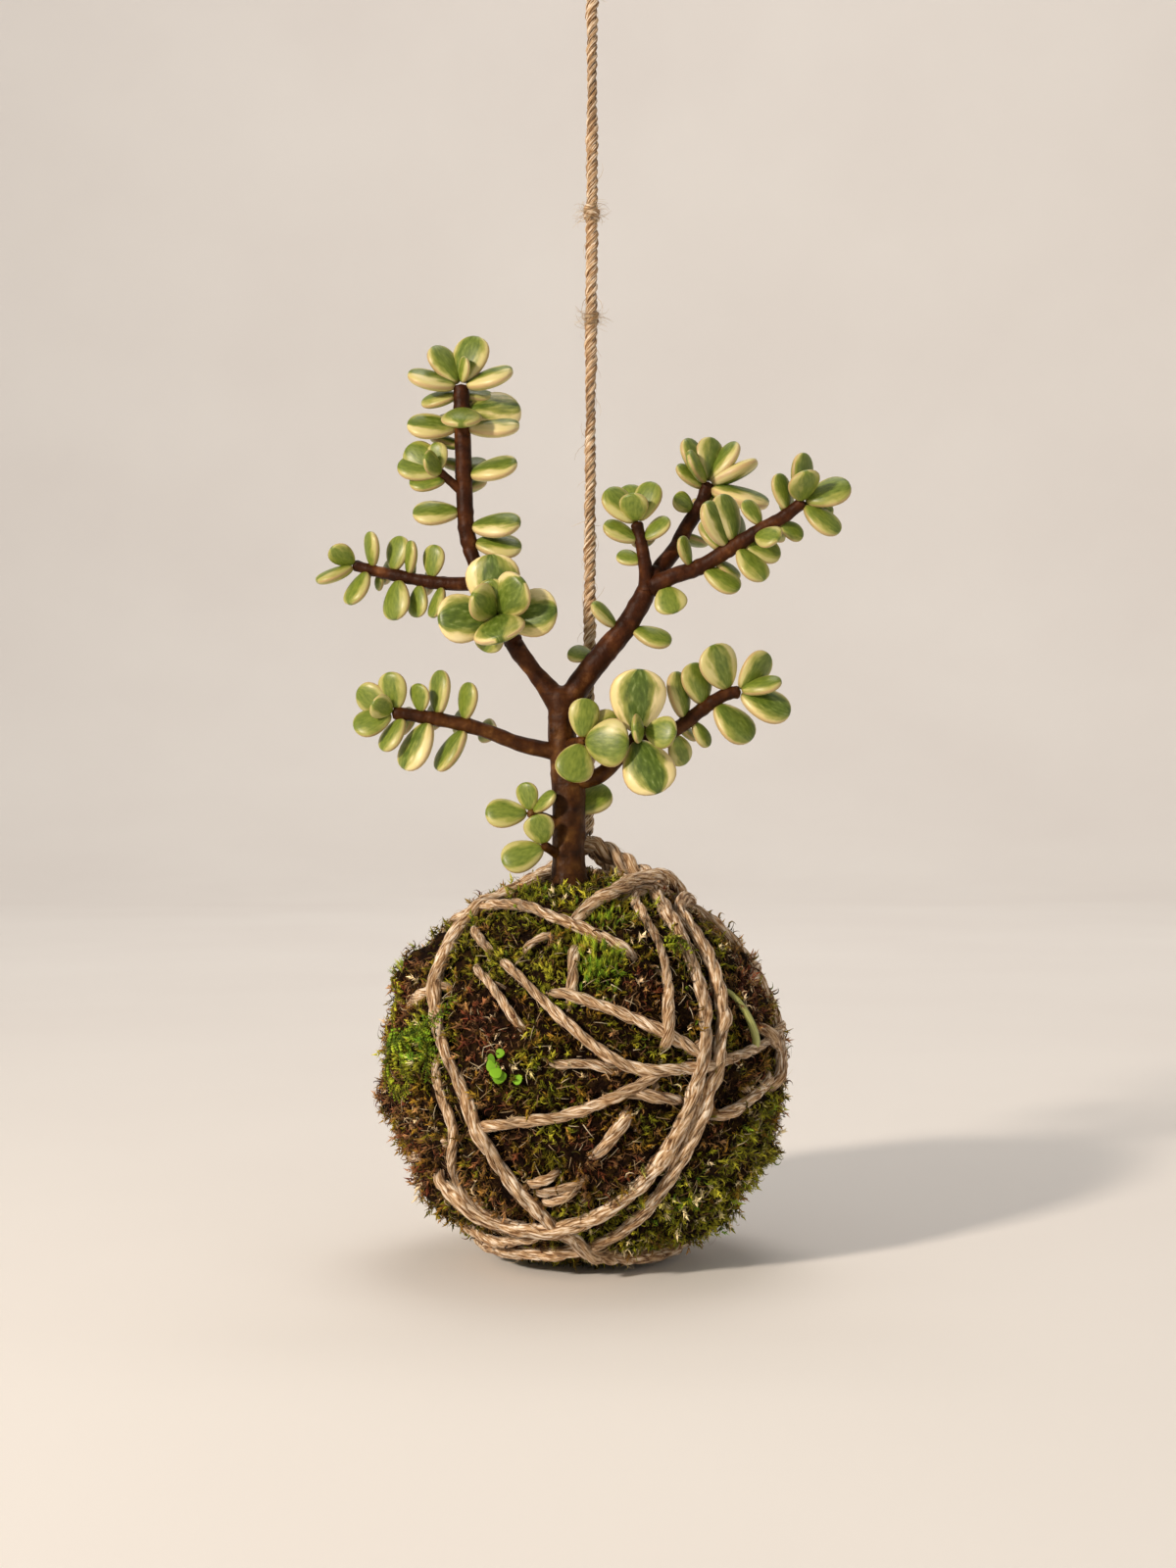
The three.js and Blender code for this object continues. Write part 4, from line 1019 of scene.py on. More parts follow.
def frond_piece(draws):
    """The feathery fronds: many short ones all over, and the long ones that stand out."""
    small = unit(draws.normal(size=(SMALL_FRONDS, 3)))
    small = small[(small[:, 2] > -0.9) & (moss_kind(small) > 0.4)]
    marked = np.repeat(np.array(FRONDS, float), BUNCH, axis=0)
    long = unit(towards(marked[:, 0], marked[:, 1]) + draws.normal(size=(len(marked), 3)) * 0.06)
    directions = np.vstack([small, long])
    lift, nearest = mat_lift(directions)
    marking = np.arange(len(directions)) >= len(small)
    origins = on_moss(directions, lift - 0.4 + 1.2 * marking)
    lengths = np.concatenate([draws.uniform(2.4, 4.4, len(small)),
                              marked[:, 2] * draws.uniform(0.55, 1, len(long))])
    kinds = np.concatenate([moss_kind(small), marked[:, 3] + 0.05 * draws.normal(size=len(long))])
    kept = ((nearest > TWINE_CLEAR) | marking) & clear_of_trunk(origins, 6.5)
    directions, origins, lengths, kinds = only(kept, directions, origins, lengths, kinds)
    axes = square_to(directions, draws.normal(size=directions.shape))
    axes = unit(axes + directions * draws.uniform(0.1, 1.2, (len(axes), 1)))
    frond = frond_shape(8, 0.06, 55)
    moss_piece("fronds", frond, scatter(frond, origins, axes, lengths, 1, draws), kinds, draws, 0.6)


def feather_piece(draws):
    """Feather moss that creeps over the ball and the twine: side branches along each of its ways."""
    branch = frond_shape(4, 0.13, 25)
    bent_to = np.sign(branch[0][:, 1].sum())
    starts, frames, kinds = [], [], []
    for kind, way in FEATHERS:
        rough = way_round(way, 120)
        lift, nearest = mat_lift(rough)
        high = np.maximum(lift + FEATHER_LIFT, 1 + FEATHER_LIFT) + 1.2 * np.exp(-((nearest / 2.4) ** 2))
        high = np.convolve(np.pad(high, 12, mode="edge"), np.ones(25) / 25, mode="valid")
        line = spaced(on_moss(rough, high), FEATHER_SPACING)
        tangent = unit(np.gradient(line, axis=0))
        out = unit(line - CENTRE)
        side = np.cross(out, tangent)
        for at, share in enumerate(np.linspace(0, 1, len(line))):
            for hand in (-1, 1):
                lean = math.radians(draws.uniform(38, 62))
                axis = tangent[at] * math.cos(lean) + hand * side[at] * math.sin(lean)
                axis = unit(axis + out[at] * draws.uniform(-0.3, 0.4))
                normal = square_to(axis, out[at]) * -bent_to
                size = blend(*FEATHER_SIZES, share) * draws.uniform(0.75, 1.15)
                starts.append(line[at])
                frames.append(np.column_stack([np.cross(normal, axis), normal, axis]) * size)
                kinds.append(kind - 0.12 * draws.random())
    moss_piece("feathers", branch, copies(branch, np.array(starts), np.array(frames)), kinds, draws, 0.84)


def brush_piece(draws):
    """Brushes of fresh needles, each a close stand of tufts."""
    drawn = []
    for right, up, radius, count, long, kind in BRUSHES:
        spread = draws.normal(size=(count, 3)) * math.radians(radius) * 0.55
        directions = unit(towards(right, up) + spread)
        drawn.append((directions, long * draws.uniform(0.6, 1.1, count), kind - 0.14 * draws.random(count)))
    directions, lengths, kinds = (np.concatenate(one) for one in zip(*drawn))
    lift, nearest = mat_lift(directions)
    directions, lengths, kinds, lift = only(nearest > TWINE_CLEAR, directions, lengths, kinds, lift)
    axes = unit(directions + 0.3 * draws.normal(size=directions.shape) + [0, 0, 0.35])
    made = scatter(tuft, on_moss(directions, lift + 0.2), axes, lengths, 0.5, draws)
    moss_piece("brushes", tuft, made, kinds, draws, 0.85)


def dipping_piece(lines, draws):
    """Small tufts that close over the twine where it goes under the moss."""
    spots = [line[np.flatnonzero(np.diff((under > DIPPING).astype(int)))] for _, line, _, _, under in lines]
    middles = np.repeat(unit(np.vstack(spots) - CENTRE), DIPPING_TUFTS, axis=0)
    directions = unit(middles + draws.normal(size=middles.shape) * 0.028)
    directions = directions[directions[:, 2] > -0.85]
    origins = on_moss(directions, draws.uniform(-0.9, 0.7, len(directions)))
    directions, origins = only(clear_of_trunk(origins, 5.4), directions, origins)
    kinds = np.clip(moss_kind(directions) + draws.normal(size=len(directions)) * 0.12, 0.05, 1)
    axes = unit(directions + 0.8 * draws.normal(size=directions.shape))
    made = scatter(tuft, origins, axes, draws.uniform(1.6, 3, len(kinds)), 0.6, draws)
    moss_piece("over_twine", tuft, made, kinds, draws, 0.8)


def dead_fibre_piece(draws):
    """Dead stalks and root hairs that lie on the moss, with a few longer ones that stand out."""
    directions = unit(draws.normal(size=(DEAD_FIBRES, 3)))
    directions = directions[directions[:, 2] > -0.93]
    marked = np.repeat(np.array(HAIRS, float), BUNCH, axis=0)
    long = unit(towards(marked[:, 0], marked[:, 1]) + draws.normal(size=(len(marked), 3)) * 0.04)
    lengths = np.concatenate([draws.uniform(1.6, 5.2, len(directions)),
                              marked[:, 2] * draws.uniform(0.5, 1, len(long))])
    hair = np.arange(len(lengths)) >= len(directions)
    directions = np.vstack([directions, long])
    lift, _ = mat_lift(directions)
    origins = on_moss(directions, lift + np.where(hair, 0.2, draws.uniform(0.3, 2.2, len(lift))))
    kept = clear_of_trunk(origins, 5.5)
    directions, origins, lengths, hair = only(kept, directions, origins, lengths, hair)
    flat = unit(np.cross(directions, draws.normal(size=directions.shape)))
    axes = unit(flat + directions * (draws.uniform(-0.1, 0.45, len(flat)) + 0.9 * hair)[:, None])
    first = unit(np.cross(axes, directions))
    wide = np.where(hair, HAIR_WIDE, DEAD_WIDE * draws.uniform(0.6, 1.3, len(axes))) / FIBRE_SHAPE_WIDE
    # the bend lies in the fibre's second direction, whose scale follows the length
    frames = np.stack([first * wide[:, None], np.cross(axes, first) * (lengths * 0.5)[:, None],
                       axes * lengths[:, None]], axis=2)
    places, faces = copies(one_fibre, origins, frames)
    places[:, 2] = np.maximum(places[:, 2], FLOOR_GAP)
    draw = np.repeat(np.where(hair, 0.35, draws.random(len(origins))), len(one_fibre[0]))
    piece_of("moss_dead_fibres", (places, faces), [dead_stalk], "moss_shell", {"strand_draw": draw})


def grass_stem(material):
    """One pale blade of grass that lies on the moss and goes into it at both ends."""
    line = spaced(on_moss(way_round(GRASS, 90), 0), 0.8)
    out = unit(line - CENTRE)
    share = np.linspace(0, 1, len(line))
    line = line + out * (3.6 * np.sin(math.pi * share) ** 0.3 - 1)[:, None]
    radii = np.clip(blend(0.6, 1.1, share) * np.clip((1 - share) * 9, 0, 1) ** 0.5, 0.01, 2)
    radii[0] = 0.01
    *shape, fibres = tube(line, out, radii, 8)
    merged(piece_of("grass_stem", shape, [material], "moss_shell", {"fibre_place": fibres}))


def round_leaf_piece(draws):
    """A few small round leaves of another plant that grows in the moss."""
    marked = np.array(ROUND_LEAVES, float)
    directions = towards(marked[:, 0], marked[:, 1])
    origins = on_moss(directions, mat_lift(directions)[0] + 1.4)
    up = unit(TO_VIEWER + [-0.2, 0, 0.5] + 0.3 * draws.normal(size=directions.shape))
    axes = unit(np.cross(up, draws.normal(size=directions.shape)))
    frames = np.stack([axes, np.cross(up, axes) * 0.95, up * 0.5], axis=2) * marked[:, 2, None, None]
    shape = copies(blade[0], origins, frames)
    draw = np.repeat(draws.uniform(0.08, 0.7, len(marked)), len(blade[0][0]))
    values = {"moss_kind": np.full(len(draw), 1.0), "moss_tip": np.full(len(draw), 0.6), "moss_draw": draw}
    piece_of("round_green_leaves", shape, [moss_leaf], "moss_shell", values)


# The plant, in millimetres
LEAF_FOOT_SHARE = 0.7
LEAF_TIP_SHARE = 1.2
LEAF_WIDE = 1.02
LEAF_PLUMP = 0.26
LEAF_CURL = 0.06
LEAF_CUP = 0.04
YOUNG_LEAF = 9.5
OLD_LEAF = 15
STEM_FACING = [0.0, -1.0, 0.1]  # where a stem's first side is turned
LIMB_REACH = 2.6
BARK_RINGS = (96, 104.5, 112, 118.5, 125, 132, 146.5, 153, 160, 166)
# Where old leaves have left a scar on the trunk's bark
BARK_SCARS = [(-2.6, -9.8, 109.5), (-6.8, -8.7, 112.4), (-3.2, -10, 120), (-7.6, -8.4, 128.6),
              (-1.9, -8.4, 134), (-15.8, -8, 149.2), (8.6, -9.7, 154.2), (-6.7, -9.4, 99), (0.2, -7, 103)]


def leaf_shape():
    """One leaf, a unit long: plump, narrow at its foot and round at its tip. Also gives each point's place
    across and along the blade."""
    deselect()
    bpy.ops.mesh.primitive_uv_sphere_add(segments=24, ring_count=14, radius=0.5, rotation=(0, math.pi / 2, 0))
    made = bpy.context.active_object
    bpy.ops.object.transform_apply(rotation=True)
    with editing(made):
        bpy.ops.transform.translate(value=(0.5, 0, 0))
    places, faces = shape_of(made)
    along = np.clip(places[:, 0], 0, 1)
    half = np.maximum(np.sqrt(along * (1 - along)), 1e-4)
    across, through = (np.clip(places[:, i] / half, -1, 1) for i in (1, 2))
    outline = half * blend(LEAF_FOOT_SHARE, LEAF_TIP_SHARE, along) * LEAF_WIDE
    height = through * half**0.7 * LEAF_PLUMP + LEAF_CURL * along**2 + LEAF_CUP * across**2 * half
    shaped = np.column_stack([along, across * outline, height])
    return (shaped, faces), np.column_stack([across, along, np.sign(through)])


def leaves(plan, seed):
    """Each of a stem's leaves, by the same rule and draws as the solids: the ones that the photo shows, and
    then the ones behind. A leaf is its start, its axes, its length and a draw of its own."""
    line = curve_through(plan["points"], 400)
    ends = np.linspace(0, 1, len(plan["radii"]))
    last = 1 - LEAF_SUNK / travelled(line)[-1]
    grown = []

    def grow(at, foot, axis, face, far, wide, draw):
        rooted = np.interp(at, ends, plan["radii"]) * LEAF_ROOTED
        axes = np.column_stack([axis, np.cross(face, axis) * wide, face])
        grown.append((foot + axis * rooted, axes, far - rooted, draw))

    for number, (at, x, y, z, turned, *wide) in enumerate(plan["leaves"]):
        at = min(at, last)
        foot, direction = along_line(line, at)
        reach = np.array([x, y, z]) - foot
        axis, turned = unit(reach), math.radians(turned)
        face = square_to(axis, direction) * math.sin(turned) + square_to(axis, TO_VIEWER) * math.cos(turned)
        grow(at, foot, axis, unit(face), np.linalg.norm(reach), wide[0] if wide else USUAL_WIDE,
             seeded(seed * 17 + number * 3 + 1))
    lean = math.radians(BEHIND_LEAN)
    for number in range(plan.get("behind", 0)):
        draw = seeded(seed * 29 + number * 7)
        at = blend(BEHIND_FIRST, BEHIND_LAST, (number + 0.5) / plan["behind"])
        foot, direction = along_line(line, at)
        back = square_to(direction, TO_BACK)
        swing = math.radians(blend(-BEHIND_SWING, BEHIND_SWING, draw))
        outward = back * math.cos(swing) + np.cross(direction, back) * math.sin(swing)
        axis = direction * math.cos(lean) + outward * math.sin(lean)
        far = blend(BEHIND_SHORT, BEHIND_LONG, seeded(draw * 91))
        grow(at, foot, axis, square_to(axis, direction), far, USUAL_WIDE, draw)
    return grown


def leaf_part(grown):
    """Leaves as points and faces, and the numbers that the leaf material reads."""
    shape, places = blade
    origins, axes, sizes, draws = (np.array(column) for column in zip(*grown))
    each = len(places)
    values = {"leaf_place": np.tile(places, (len(grown), 1)), "leaf_draw": np.repeat(draws, each),
              "leaf_age": np.repeat(rise(sizes, YOUNG_LEAF, OLD_LEAF), each)}
    return copies(shape, origins, axes * sizes[:, None, None]), values


def stem(plan, seed):
    """A shoot's stem: wider where it leaves its branch, with a swollen ring at each leaf's foot."""
    line = spaced(curve_through(plan["points"], 300), 0.45)
    far = travelled(line)
    share = far / far[-1]
    swollen = np.zeros(len(line))
    for at, *_ in plan["leaves"]:
        swollen = np.maximum(swollen, np.exp(-(((share - at) * far[-1] / 0.8) ** 2)))
    foot = blend(0.8, 1, rise(far, 0, 4)) if plan.get("grows_on") else 1 + 0.4 * np.exp(-far / 1.4)
    radii = blend(*plan["radii"], share) * foot * (1 + 0.1 * swollen) * (1 + 0.03 * ripples(line, 2.4, seed))
    radii *= np.clip((far[-1] - far) / 0.6 + 0.02, 0, 1) ** 0.5
    return tube(line, STEM_FACING, radii, 12)


def shoot(name, plan, seed):
    """A leafy shoot: its stem with the bark, and its leaves."""
    stems, grown = [stem(plan, seed)], leaves(plan, seed)
    if "sprig" in plan:
        stems.append(stem(plan["sprig"], seed + SPRIG_SEED))
        grown += leaves(plan["sprig"], seed + SPRIG_SEED)
    wood, quads = several(stems)
    wood_faces = np.vstack([quads[:, [0, 1, 2]], quads[:, [0, 2, 3]]])
    blades, values = leaf_part(grown)
    values = {key: np.concatenate([np.zeros((len(wood), *numbers.shape[1:])), numbers])
              for key, numbers in values.items()}
    along = [fibres[:, 2] for _, _, fibres in stems]
    values["bark_along"] = np.concatenate([*along, np.zeros(len(blades[0]))])
    worn = np.repeat([1, 0], [len(wood_faces), len(blades[1])])
    merged(piece_of(name + "_leafy", several([(wood, wood_faces), blades]), [leaf_skin, bark], name,
                    values, worn))


def trunk_piece():
    """The trunk and its two limbs, grown together at the fork, with rings, old leaf scars and wrinkles."""
    parts = []
    for limb in (TRUNK, LEFT_LIMB, RIGHT_LIMB):
        line, given = curve_through(limb["points"], 120), limb["radii"]
        radii = np.interp(np.linspace(0, len(given) - 1, 120), np.arange(len(given)), given)
        # the tip reaches into the shoot that carries on from it
        steps = np.linspace(0.2, LIMB_REACH, 10)
        line = np.vstack([line, line[-1] + unit(line[-1] - line[-2]) * steps[:, None]])
        radii = np.append(radii, radii[-1] * np.sqrt(1 - (steps / LIMB_REACH) ** 2 * 0.98))
        radii[[0, -1]] = 0.01
        parts.append(tube(line, STEM_FACING, radii, 20))
    made = merged(piece_of("trunk_bark", several(parts), [bark], "trunk", {}))
    modified(made, "REMESH", mode="VOXEL", voxel_size=0.36 * MM)
    modified(made, "SMOOTH", factor=0.6, iterations=9)
    mesh = made.data
    places, normals = numbers_of(mesh.vertices, "co") / MM, numbers_of(mesh.vertices, "normal")
    height = places[:, 2]
    swell = 0.13 * ripples(places, 7, 41) + 0.07 * ripples(places * [1, 1, 0.4], 1.5, 42)
    for ring in BARK_RINGS:
        wavy = height + 0.5 * ripples(places, 6, int(ring)) - ring
        swell += 0.08 * np.exp(-((wavy / 0.55) ** 2)) - 0.05 * np.exp(-(((wavy - 1.3) / 0.7) ** 2))
    scarred = np.zeros(len(places))
    for scar in BARK_SCARS:
        away = np.linalg.norm(places - scar, axis=1)
        swell += 0.55 * np.exp(-((away / 1.1) ** 2)) - 0.3 * np.exp(-((away / 0.45) ** 2))
        scarred = np.maximum(scarred, np.exp(-((away / 0.8) ** 2)))
    root = 1 - rise(height, 88, 96)
    swell += 0.5 * root * (1 + 0.6 * np.cos(3 * np.arctan2(places[:, 1] + 6, places[:, 0] + 3.8) + 1))
    places += normals * swell[:, None]
    mesh.vertices.foreach_set("co", (places * MM).ravel())
    mark(mesh, {"bark_along": places[:, 2], "bark_scar": scarred})
    mesh.shade_smooth()


# Materials


def leaf_material():
    """Succulent leaf, smooth and waxy: a soft gloss over a green middle stripe and a cream margin."""
    made, node = new_material("waxy_variegated_leaf", Roughness=0.44, IOR=1.45, Coat_Weight=0.16,
                              Coat_Roughness=0.28, Subsurface_Weight=0.08, Subsurface_Scale=0.002,
                              Subsurface_Radius=(0.6, 0.8, 0.2))
    place = node("Attribute", attribute_name="leaf_place", out="Vector")
    draw, age = (node("Attribute", attribute_name=name, out="Fac") for name in ("leaf_draw", "leaf_age"))
    parts = node("SeparateXYZ", place, out=None)
    across = node("Math", parts["X"], operation="ABSOLUTE")
    # the stripe's edge wanders over about 5 mm, and the green is mottled in flecks of about 0.8 by 1.5 mm
    offset = node("Math", draw, 37.0, operation="MULTIPLY")
    broad = node("Mapping", node("CombineXYZ", parts["X"], parts["Y"], offset), Scale=(1.3, 1.1, 1))
    ragged = node("TexNoise", broad, Scale=1.0, Detail=2.0)
    streaks = node("TexNoise", node("Mapping", broad, Scale=(5.0, 5.5, 1)), Scale=1.0, Detail=4.0)
    wander = node("MapRange", ragged, 0.25, 0.75, -0.34, 0.34, clamp=False)
    edge = node("Math", across, wander, operation="ADD")
    edge = node("Math", edge, node("MapRange", streaks, 0.3, 0.7, -0.07, 0.07, clamp=False), operation="ADD")
    edge = node("Math", edge, node("MapRange", draw, To_Min=0.4, To_Max=0.62), operation="SUBTRACT")
    edge = node("Math", edge, node("MapRange", age, To_Min=0.18, To_Max=0.0), operation="SUBTRACT")
    stripe = node("MapRange", edge, 0.1, -0.28, interpolation_type="SMOOTHSTEP")
    pale = node("MapRange", edge, 0.0, 0.24, interpolation_type="SMOOTHSTEP")
    green = node("ValToRGB", streaks, stops=[
        (0.3, "#3b500f"), (0.48, "#4c6218"), (0.6, "#5f742c"), (0.76, "#8f9d60")])
    fresh = node("ValToRGB", streaks, stops=[(0.3, "#5c701c"), (0.7, "#7f8d32")])
    cream = node("ValToRGB", ragged, stops=[(0.3, "#d9c582"), (0.5, "#e9d798"), (0.7, "#f4e6b4")])
    lime = node("ValToRGB", ragged, stops=[(0.3, "#8a903a"), (0.7, "#a6a652")])
    middle = node("Mix", Factor=age, A=fresh, B=green, **COLOURS)
    palest = node("Math", node("MapRange", age, To_Min=0.3, To_Max=1.0), pale, operation="MULTIPLY")
    margin = node("Mix", Factor=palest, A=lime, B=cream, **COLOURS)
    colour = node("Mix", Factor=stripe, A=margin, B=middle, **COLOURS)
    rim = node("MapRange", across, 0.93, 1.0, To_Max=0.6)
    colour = node("Mix", Factor=rim, A=colour, B=linear("#bd9170"), **COLOURS)
    foot = node("MapRange", parts["Y"], 0.09, 0.0, To_Max=0.6)
    colour = node("Mix", Factor=foot, A=colour, B=linear("#8a7a3c"), **COLOURS)
    return dressed(made, colour, node("TexNoise", place, Scale=9.0, Detail=4.0), (0.12, 0.0006))


def bark_material():
    """Young bark, grown: a dull sheen, dark reddish brown, paler and greener low on the trunk."""
    made, node = new_material("reddish_young_bark", Roughness=0.42, IOR=1.45, Specular_IOR_Level=0.16)
    place = node("TexCoord", out="Object")
    along, scar = (node("Attribute", attribute_name=name, out="Fac") for name in ("bark_along", "bark_scar"))
    # blotches of about 4 mm, and wrinkles of about 0.8 mm
    blotches = node("TexNoise", place, Scale=240.0, Detail=4.0)
    wrinkles = node("TexNoise", place, Scale=1300.0, Detail=5.0)
    dark = node("ValToRGB", blotches, stops=[
        (0.3, "#271003"), (0.48, "#391a07"), (0.62, "#4f2a10"), (0.8, "#835430")])
    old = node("ValToRGB", blotches, stops=[
        (0.28, "#2a1504"), (0.46, "#412409"), (0.6, "#573714"), (0.78, "#836030")])
    low = node("MapRange", node("SeparateXYZ", place, out="Z"), 0.15, 0.105)
    colour = node("Mix", Factor=low, A=dark, B=old, **COLOURS)
    # old leaf rings, a few millimetres apart
    ring = node("Math", node("Math", along, blotches, operation="ADD"), 1.15, operation="MULTIPLY")
    ring = node("MapRange", node("Math", ring, operation="SINE"), 0.9, 1.0, To_Max=0.25)
    worn = node("Math", ring, scar, operation="MAXIMUM")
    colour = node("Mix", Factor=worn, A=colour, B=linear("#1e0d06"), **COLOURS)
    rough = node("MapRange", wrinkles, To_Min=0.34, To_Max=0.6)
    return dressed(made, colour, wrinkles, (0.5, 0.0004), rough)


def jute_material(name, dirt):
    """Jute, spun and twisted: matt, with pale fibres along each ply, and painted shade in the grooves between
    the plies. dirt is how much peat is rubbed in.
    """
    made, node = new_material(name, Roughness=0.9, Specular_IOR_Level=0.15, Sheen_Weight=0.12,
                              Sheen_Roughness=0.6)
    fibres = node("Attribute", attribute_name="fibre_place", out="Vector")
    # fibres of about 0.4 mm across and 5 mm long: twice as coarse as the real ones, so that they show
    streaks = node("TexNoise", node("Mapping", fibres, Scale=(1.8, 1.8, 0.22)), Scale=1.6, Detail=4.0)
    patches = node("TexNoise", node("TexCoord", out="Object"), Scale=90.0, Detail=3.0)
    clean = node("ValToRGB", streaks, stops=[
        (0.33, "#573820"), (0.43, "#98734d"), (0.52, "#ccab83"), (0.64, "#faecd8")])
    soiled = node("ValToRGB", streaks, stops=[(0.34, "#462d19"), (0.64, "#b89569")])
    rubbed = node("MapRange", patches, 0.45, 0.72, To_Max=dirt)
    colour = node("Mix", Factor=rubbed, A=clean, B=soiled, **COLOURS)
    # painted shade: the jute darkens towards each rope's middle line, in the grooves between the plies
    groove_shade = node("MapRange", node("Attribute", attribute_name="fibre_rise", out="Fac"), 0.9, 0.5, To_Max=0.8)
    colour = node("Mix", Factor=groove_shade, A=colour, B=linear("#33200f"), **COLOURS)
    return dressed(made, colour, streaks, (0.7, 0.0005))


def moss_material():
    """Living moss leaf, thin and matt: painted shade darkens it towards the foot, and it is lighter, fresh
    and bright, towards the tip.
    """
    made, node = new_material("living_moss_leaf", Roughness=0.62, Specular_IOR_Level=0.14)
    kind, tip, draw = (node("Attribute", attribute_name="moss_" + name, out="Fac")
                       for name in ("kind", "tip", "draw"))
    colour = node("ValToRGB", kind, stops=[
        (0, "#6c3522"), (0.12, "#84492c"), (0.24, "#a67e52"), (0.36, "#936a24"), (0.5, "#82741a"),
        (0.64, "#8f9120"), (0.78, "#bfb838"), (0.9, "#8ca428"), (1, "#6d9a24")])
    pale = node("MapRange", draw, 0.86, 0.92, To_Max=0.8)
    colour = node("Mix", Factor=pale, A=colour, B=linear("#dccaa4"), **COLOURS)
    # painted shade: each leaf darkens towards its foot, down among the other leaves, and lightens towards its
    # tip
    shade = node("MapRange", tip, 0.05, 0.7, 0.15, 1.4)
    # each copy's own brightness, darkened as painted shade where the copy lies in a hollow
    uneven = node("MapRange", draw, To_Min=0.35, To_Max=1.6)
    bright = node("Math", shade, uneven, operation="MULTIPLY")
    return dressed(made, node("HueSaturation", Value=bright, Color=colour))


def grass_material():
    """A blade of grass, pale and smooth, with faint ribs along it."""
    made, node = new_material("pale_grass_blade", Roughness=0.5)
    fibres = node("Attribute", attribute_name="fibre_place", out="Vector")
    drawn = node("Mapping", fibres, Scale=(3.0, 3.0, 0.1))
    ribs = node("TexNoise", drawn, Scale=1.5, Detail=2.0)
    colour = node("ValToRGB", ribs, stops=[(0.35, "#878a3e"), (0.65, "#bcc07a")])
    return dressed(made, colour, ribs, (0.3, 0.0003))


def strand_material(name, colours, **shader):
    """A matt material for thin strands, each with a colour of its own."""
    made, node = new_material(name, Roughness=0.8, **shader)
    draw = node("Attribute", attribute_name="strand_draw", out="Fac")
    return dressed(made, node("ValToRGB", draw, stops=colours))


def grained_material(name, scale, detail, colours, relief=None, **shader):
    """A matt material mottled by noise of a scale for each metre, with the noise's relief where given."""
    made, node = new_material(name, **shader)
    grain = node("TexNoise", node("TexCoord", out="Object"), Scale=scale, Detail=detail)
    return dressed(made, node("ValToRGB", grain, stops=colours), grain, relief)


# The studio, in metres
FLOOR_RADIUS = 1.7
FLOOR_SWEEP = 0.9
SWEEP_STEPS = 8
WALL_HIGH = 1.2
PLANT_MIDDLE = (0, 0, 0.11)


def camera():
    lens = bpy.data.cameras.new("camera")
    lens.sensor_fit = "VERTICAL"
    lens.sensor_height = SENSOR
    lens.lens = SENSOR * FOCAL_PIXELS / PHOTO_HEIGHT
    eye = bpy.data.objects.new("camera", lens)
    bpy.context.scene.collection.objects.link(eye)
    eye.location = [value * MM for value in CAMERA_PLACE]
    eye.rotation_euler = (math.pi / 2, 0, 0)
    bpy.context.scene.camera = eye


def soft_light(name, place, size, power, colour, at=PLANT_MIDDLE, beam=180):
    """A square light that shines on the middle of the plant, or on another place, beam degrees wide."""
    bpy.ops.object.light_add(type="AREA", location=place)
    lamp = bpy.context.active_object
    lamp.name = name
    aim = np.array(at) - np.array(place)
    lamp.rotation_euler = (math.acos(aim[2] / -np.linalg.norm(aim)), 0, math.atan2(-aim[0], aim[1]))
    lamp.data.size = size
    lamp.data.spread = math.radians(beam)
    lamp.data.energy = power
    lamp.data.color = linear(colour)[:3]


def studio():
    """A pale floor that sweeps up all round, with a soft warm light from the upper left and a weak fill."""
    deselect()
    bpy.ops.mesh.primitive_circle_add(vertices=96, radius=FLOOR_RADIUS, fill_type="NGON")
    floor = bpy.context.active_object
    floor.name = "studio_floor"
    reach, high = FLOOR_RADIUS, 0
    with editing(floor):
        for step in range(1, SWEEP_STEPS + 1):
            turned = math.radians(90 * step / SWEEP_STEPS)
            wider = FLOOR_RADIUS + FLOOR_SWEEP * math.sin(turned)
            higher = FLOOR_SWEEP * (1 - math.cos(turned))
            bpy.ops.mesh.extrude_region_move()
            bpy.ops.transform.resize(value=(wider / reach, wider / reach, 1))
            bpy.ops.transform.translate(value=(0, 0, higher - high))
            reach, high = wider, higher
        bpy.ops.mesh.extrude_region_move(TRANSFORM_OT_translate={"value": (0, 0, WALL_HIGH)})
        bpy.ops.mesh.delete(type="FACE")
    floor.data.shade_smooth()
    # the floor's paint, matt and pale
    floor.data.materials.append(grained_material(
        "pale_painted_floor", 3.0, 3.0, [(0.3, "#f0ece8"), (0.7, "#f5f2ee")], Roughness=0.9))
    soft_light("key_light", (-0.95, -1.0, 0.66), 0.14, 6.1, "#ffefdd", beam=100)
    soft_light("fill_light", (1.2, -0.9, 0.5), 0.9, 2, "#fff8f2")
    soft_light("top_light", (0.1, 0.3, 1.5), 0.7, 3, "#fffaf4")
    soft_light("wall_light", (0, 0.9, 1.9), 1.0, 16, "#fff6ee", (0, 2.5, 0.5))
    world = bpy.data.worlds.new("studio")
    bpy.context.scene.world = world
    world.use_nodes = True
    sky = world.node_tree.nodes["Background"].inputs
    sky["Color"].default_value = linear("#f6f4f1")
    sky["Strength"].default_value = 0.3
    bpy.context.scene.view_settings.view_transform = "Standard"


camera()
cord_jute = jute_material("clean_jute_cord", 0.25)
twine_jute = jute_material("soiled_jute_twine", 0.75)
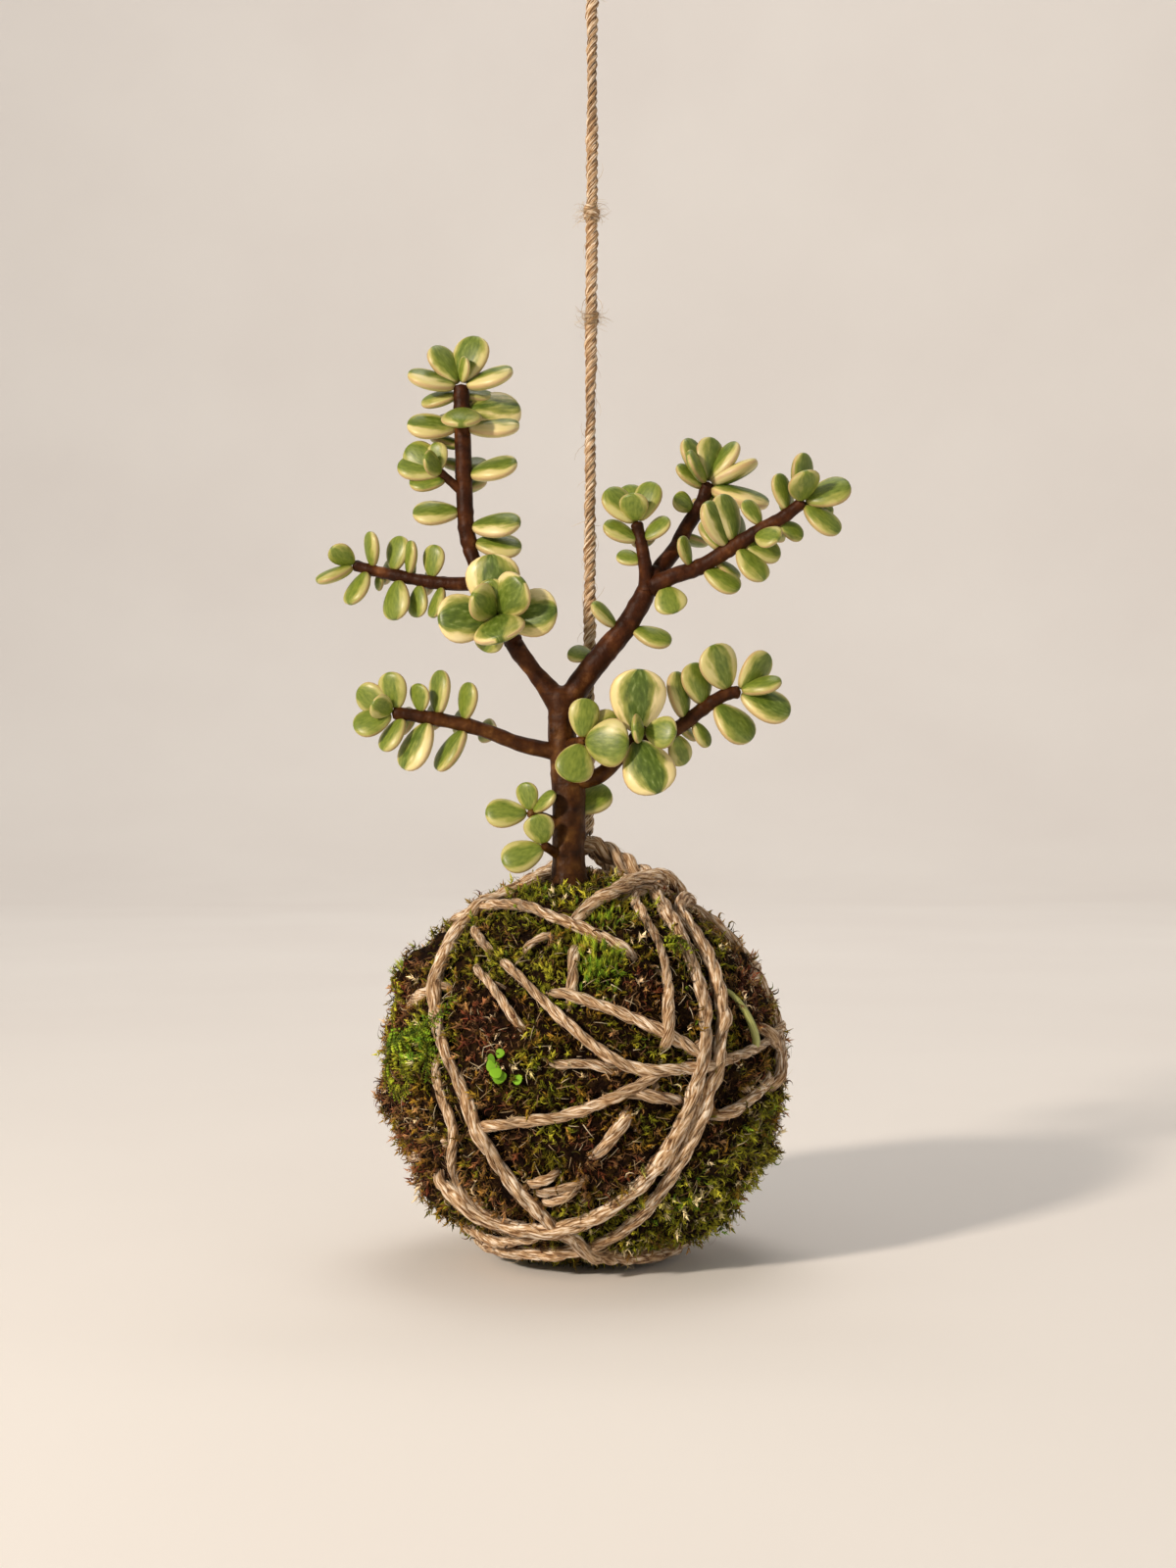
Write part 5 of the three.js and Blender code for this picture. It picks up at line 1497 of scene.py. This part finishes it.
# single jute fibres, torn loose
loose_jute = strand_material("loose_jute_fibre", [(0, "#9c7a52"), (0.6, "#c8a878"), (1, "#e6d3ad")])
one_fibre = fibre_shape()
cord_pieces()

twine_lines = strands()
binding_pieces(twine_lines)
near_twine = twine_tree(twine_lines)
# old moss and peat, matted and damp, with crumbs of about 1.5 mm; its dark colour is made darker still as
# painted shade in the gaps between the moss
moss_mat(grained_material(
    "matted_peat_and_moss", 650.0, 6.0,
    [(0.3, "#0c0502"), (0.5, "#1e0f06"), (0.62, "#2c1d08"),
     (0.78, "#4e3914")], (0.9, 0.002), Roughness=0.95, Specular_IOR_Level=0.1))
moss_leaf = moss_material()
# dead stalks and root hairs, dried: brown to grey and almost white
dead_stalk = strand_material("dried_stalks_and_roots", [(0, "#4a2c1c"), (0.35, "#7d5c3e"), (0.65, "#b39a74"),
                                                        (1, "#dccfb0")], Specular_IOR_Level=0.2)
# a tuft of fresh moss, a unit tall: slim leaves that stand up from one foot
tuft = leafy_shape([], 9, 0.09, (0, 0), (1, 0.62), (6, 46))
moss_draws = np.random.default_rng(11)
for grow_moss in (sprig_pieces, curl_piece, tuft_piece, frond_piece, feather_piece, brush_piece):
    grow_moss(moss_draws)
dead_fibre_piece(np.random.default_rng(17))
dipping_piece(twine_lines, np.random.default_rng(29))
blade = leaf_shape()
round_leaf_piece(np.random.default_rng(23))
grass_stem(grass_material())

bark = bark_material()
leaf_skin = leaf_material()
trunk_piece()
trunk_shape, trunk_values = leaf_part(leaves(TRUNK, TRUNK_SEED) + leaves(RIGHT_LIMB, LIMB_SEED))
piece_of("trunk_leaves", trunk_shape, [leaf_skin], "trunk", trunk_values)
for number, (name, plan) in enumerate(SHOOTS.items()):
    shoot(name, plan, number + SHOOT_SEED)

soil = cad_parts["soil_core"]
soil.data.materials.clear()
# potting soil, damp and pressed, with crumbs of about 2 mm
soil.data.materials.append(grained_material(
    "pressed_potting_soil", 500.0, 8.0, [(0.35, "#1a110b"), (0.7, "#4a3423")], (0.8, 0.002), Roughness=0.95))

studio()
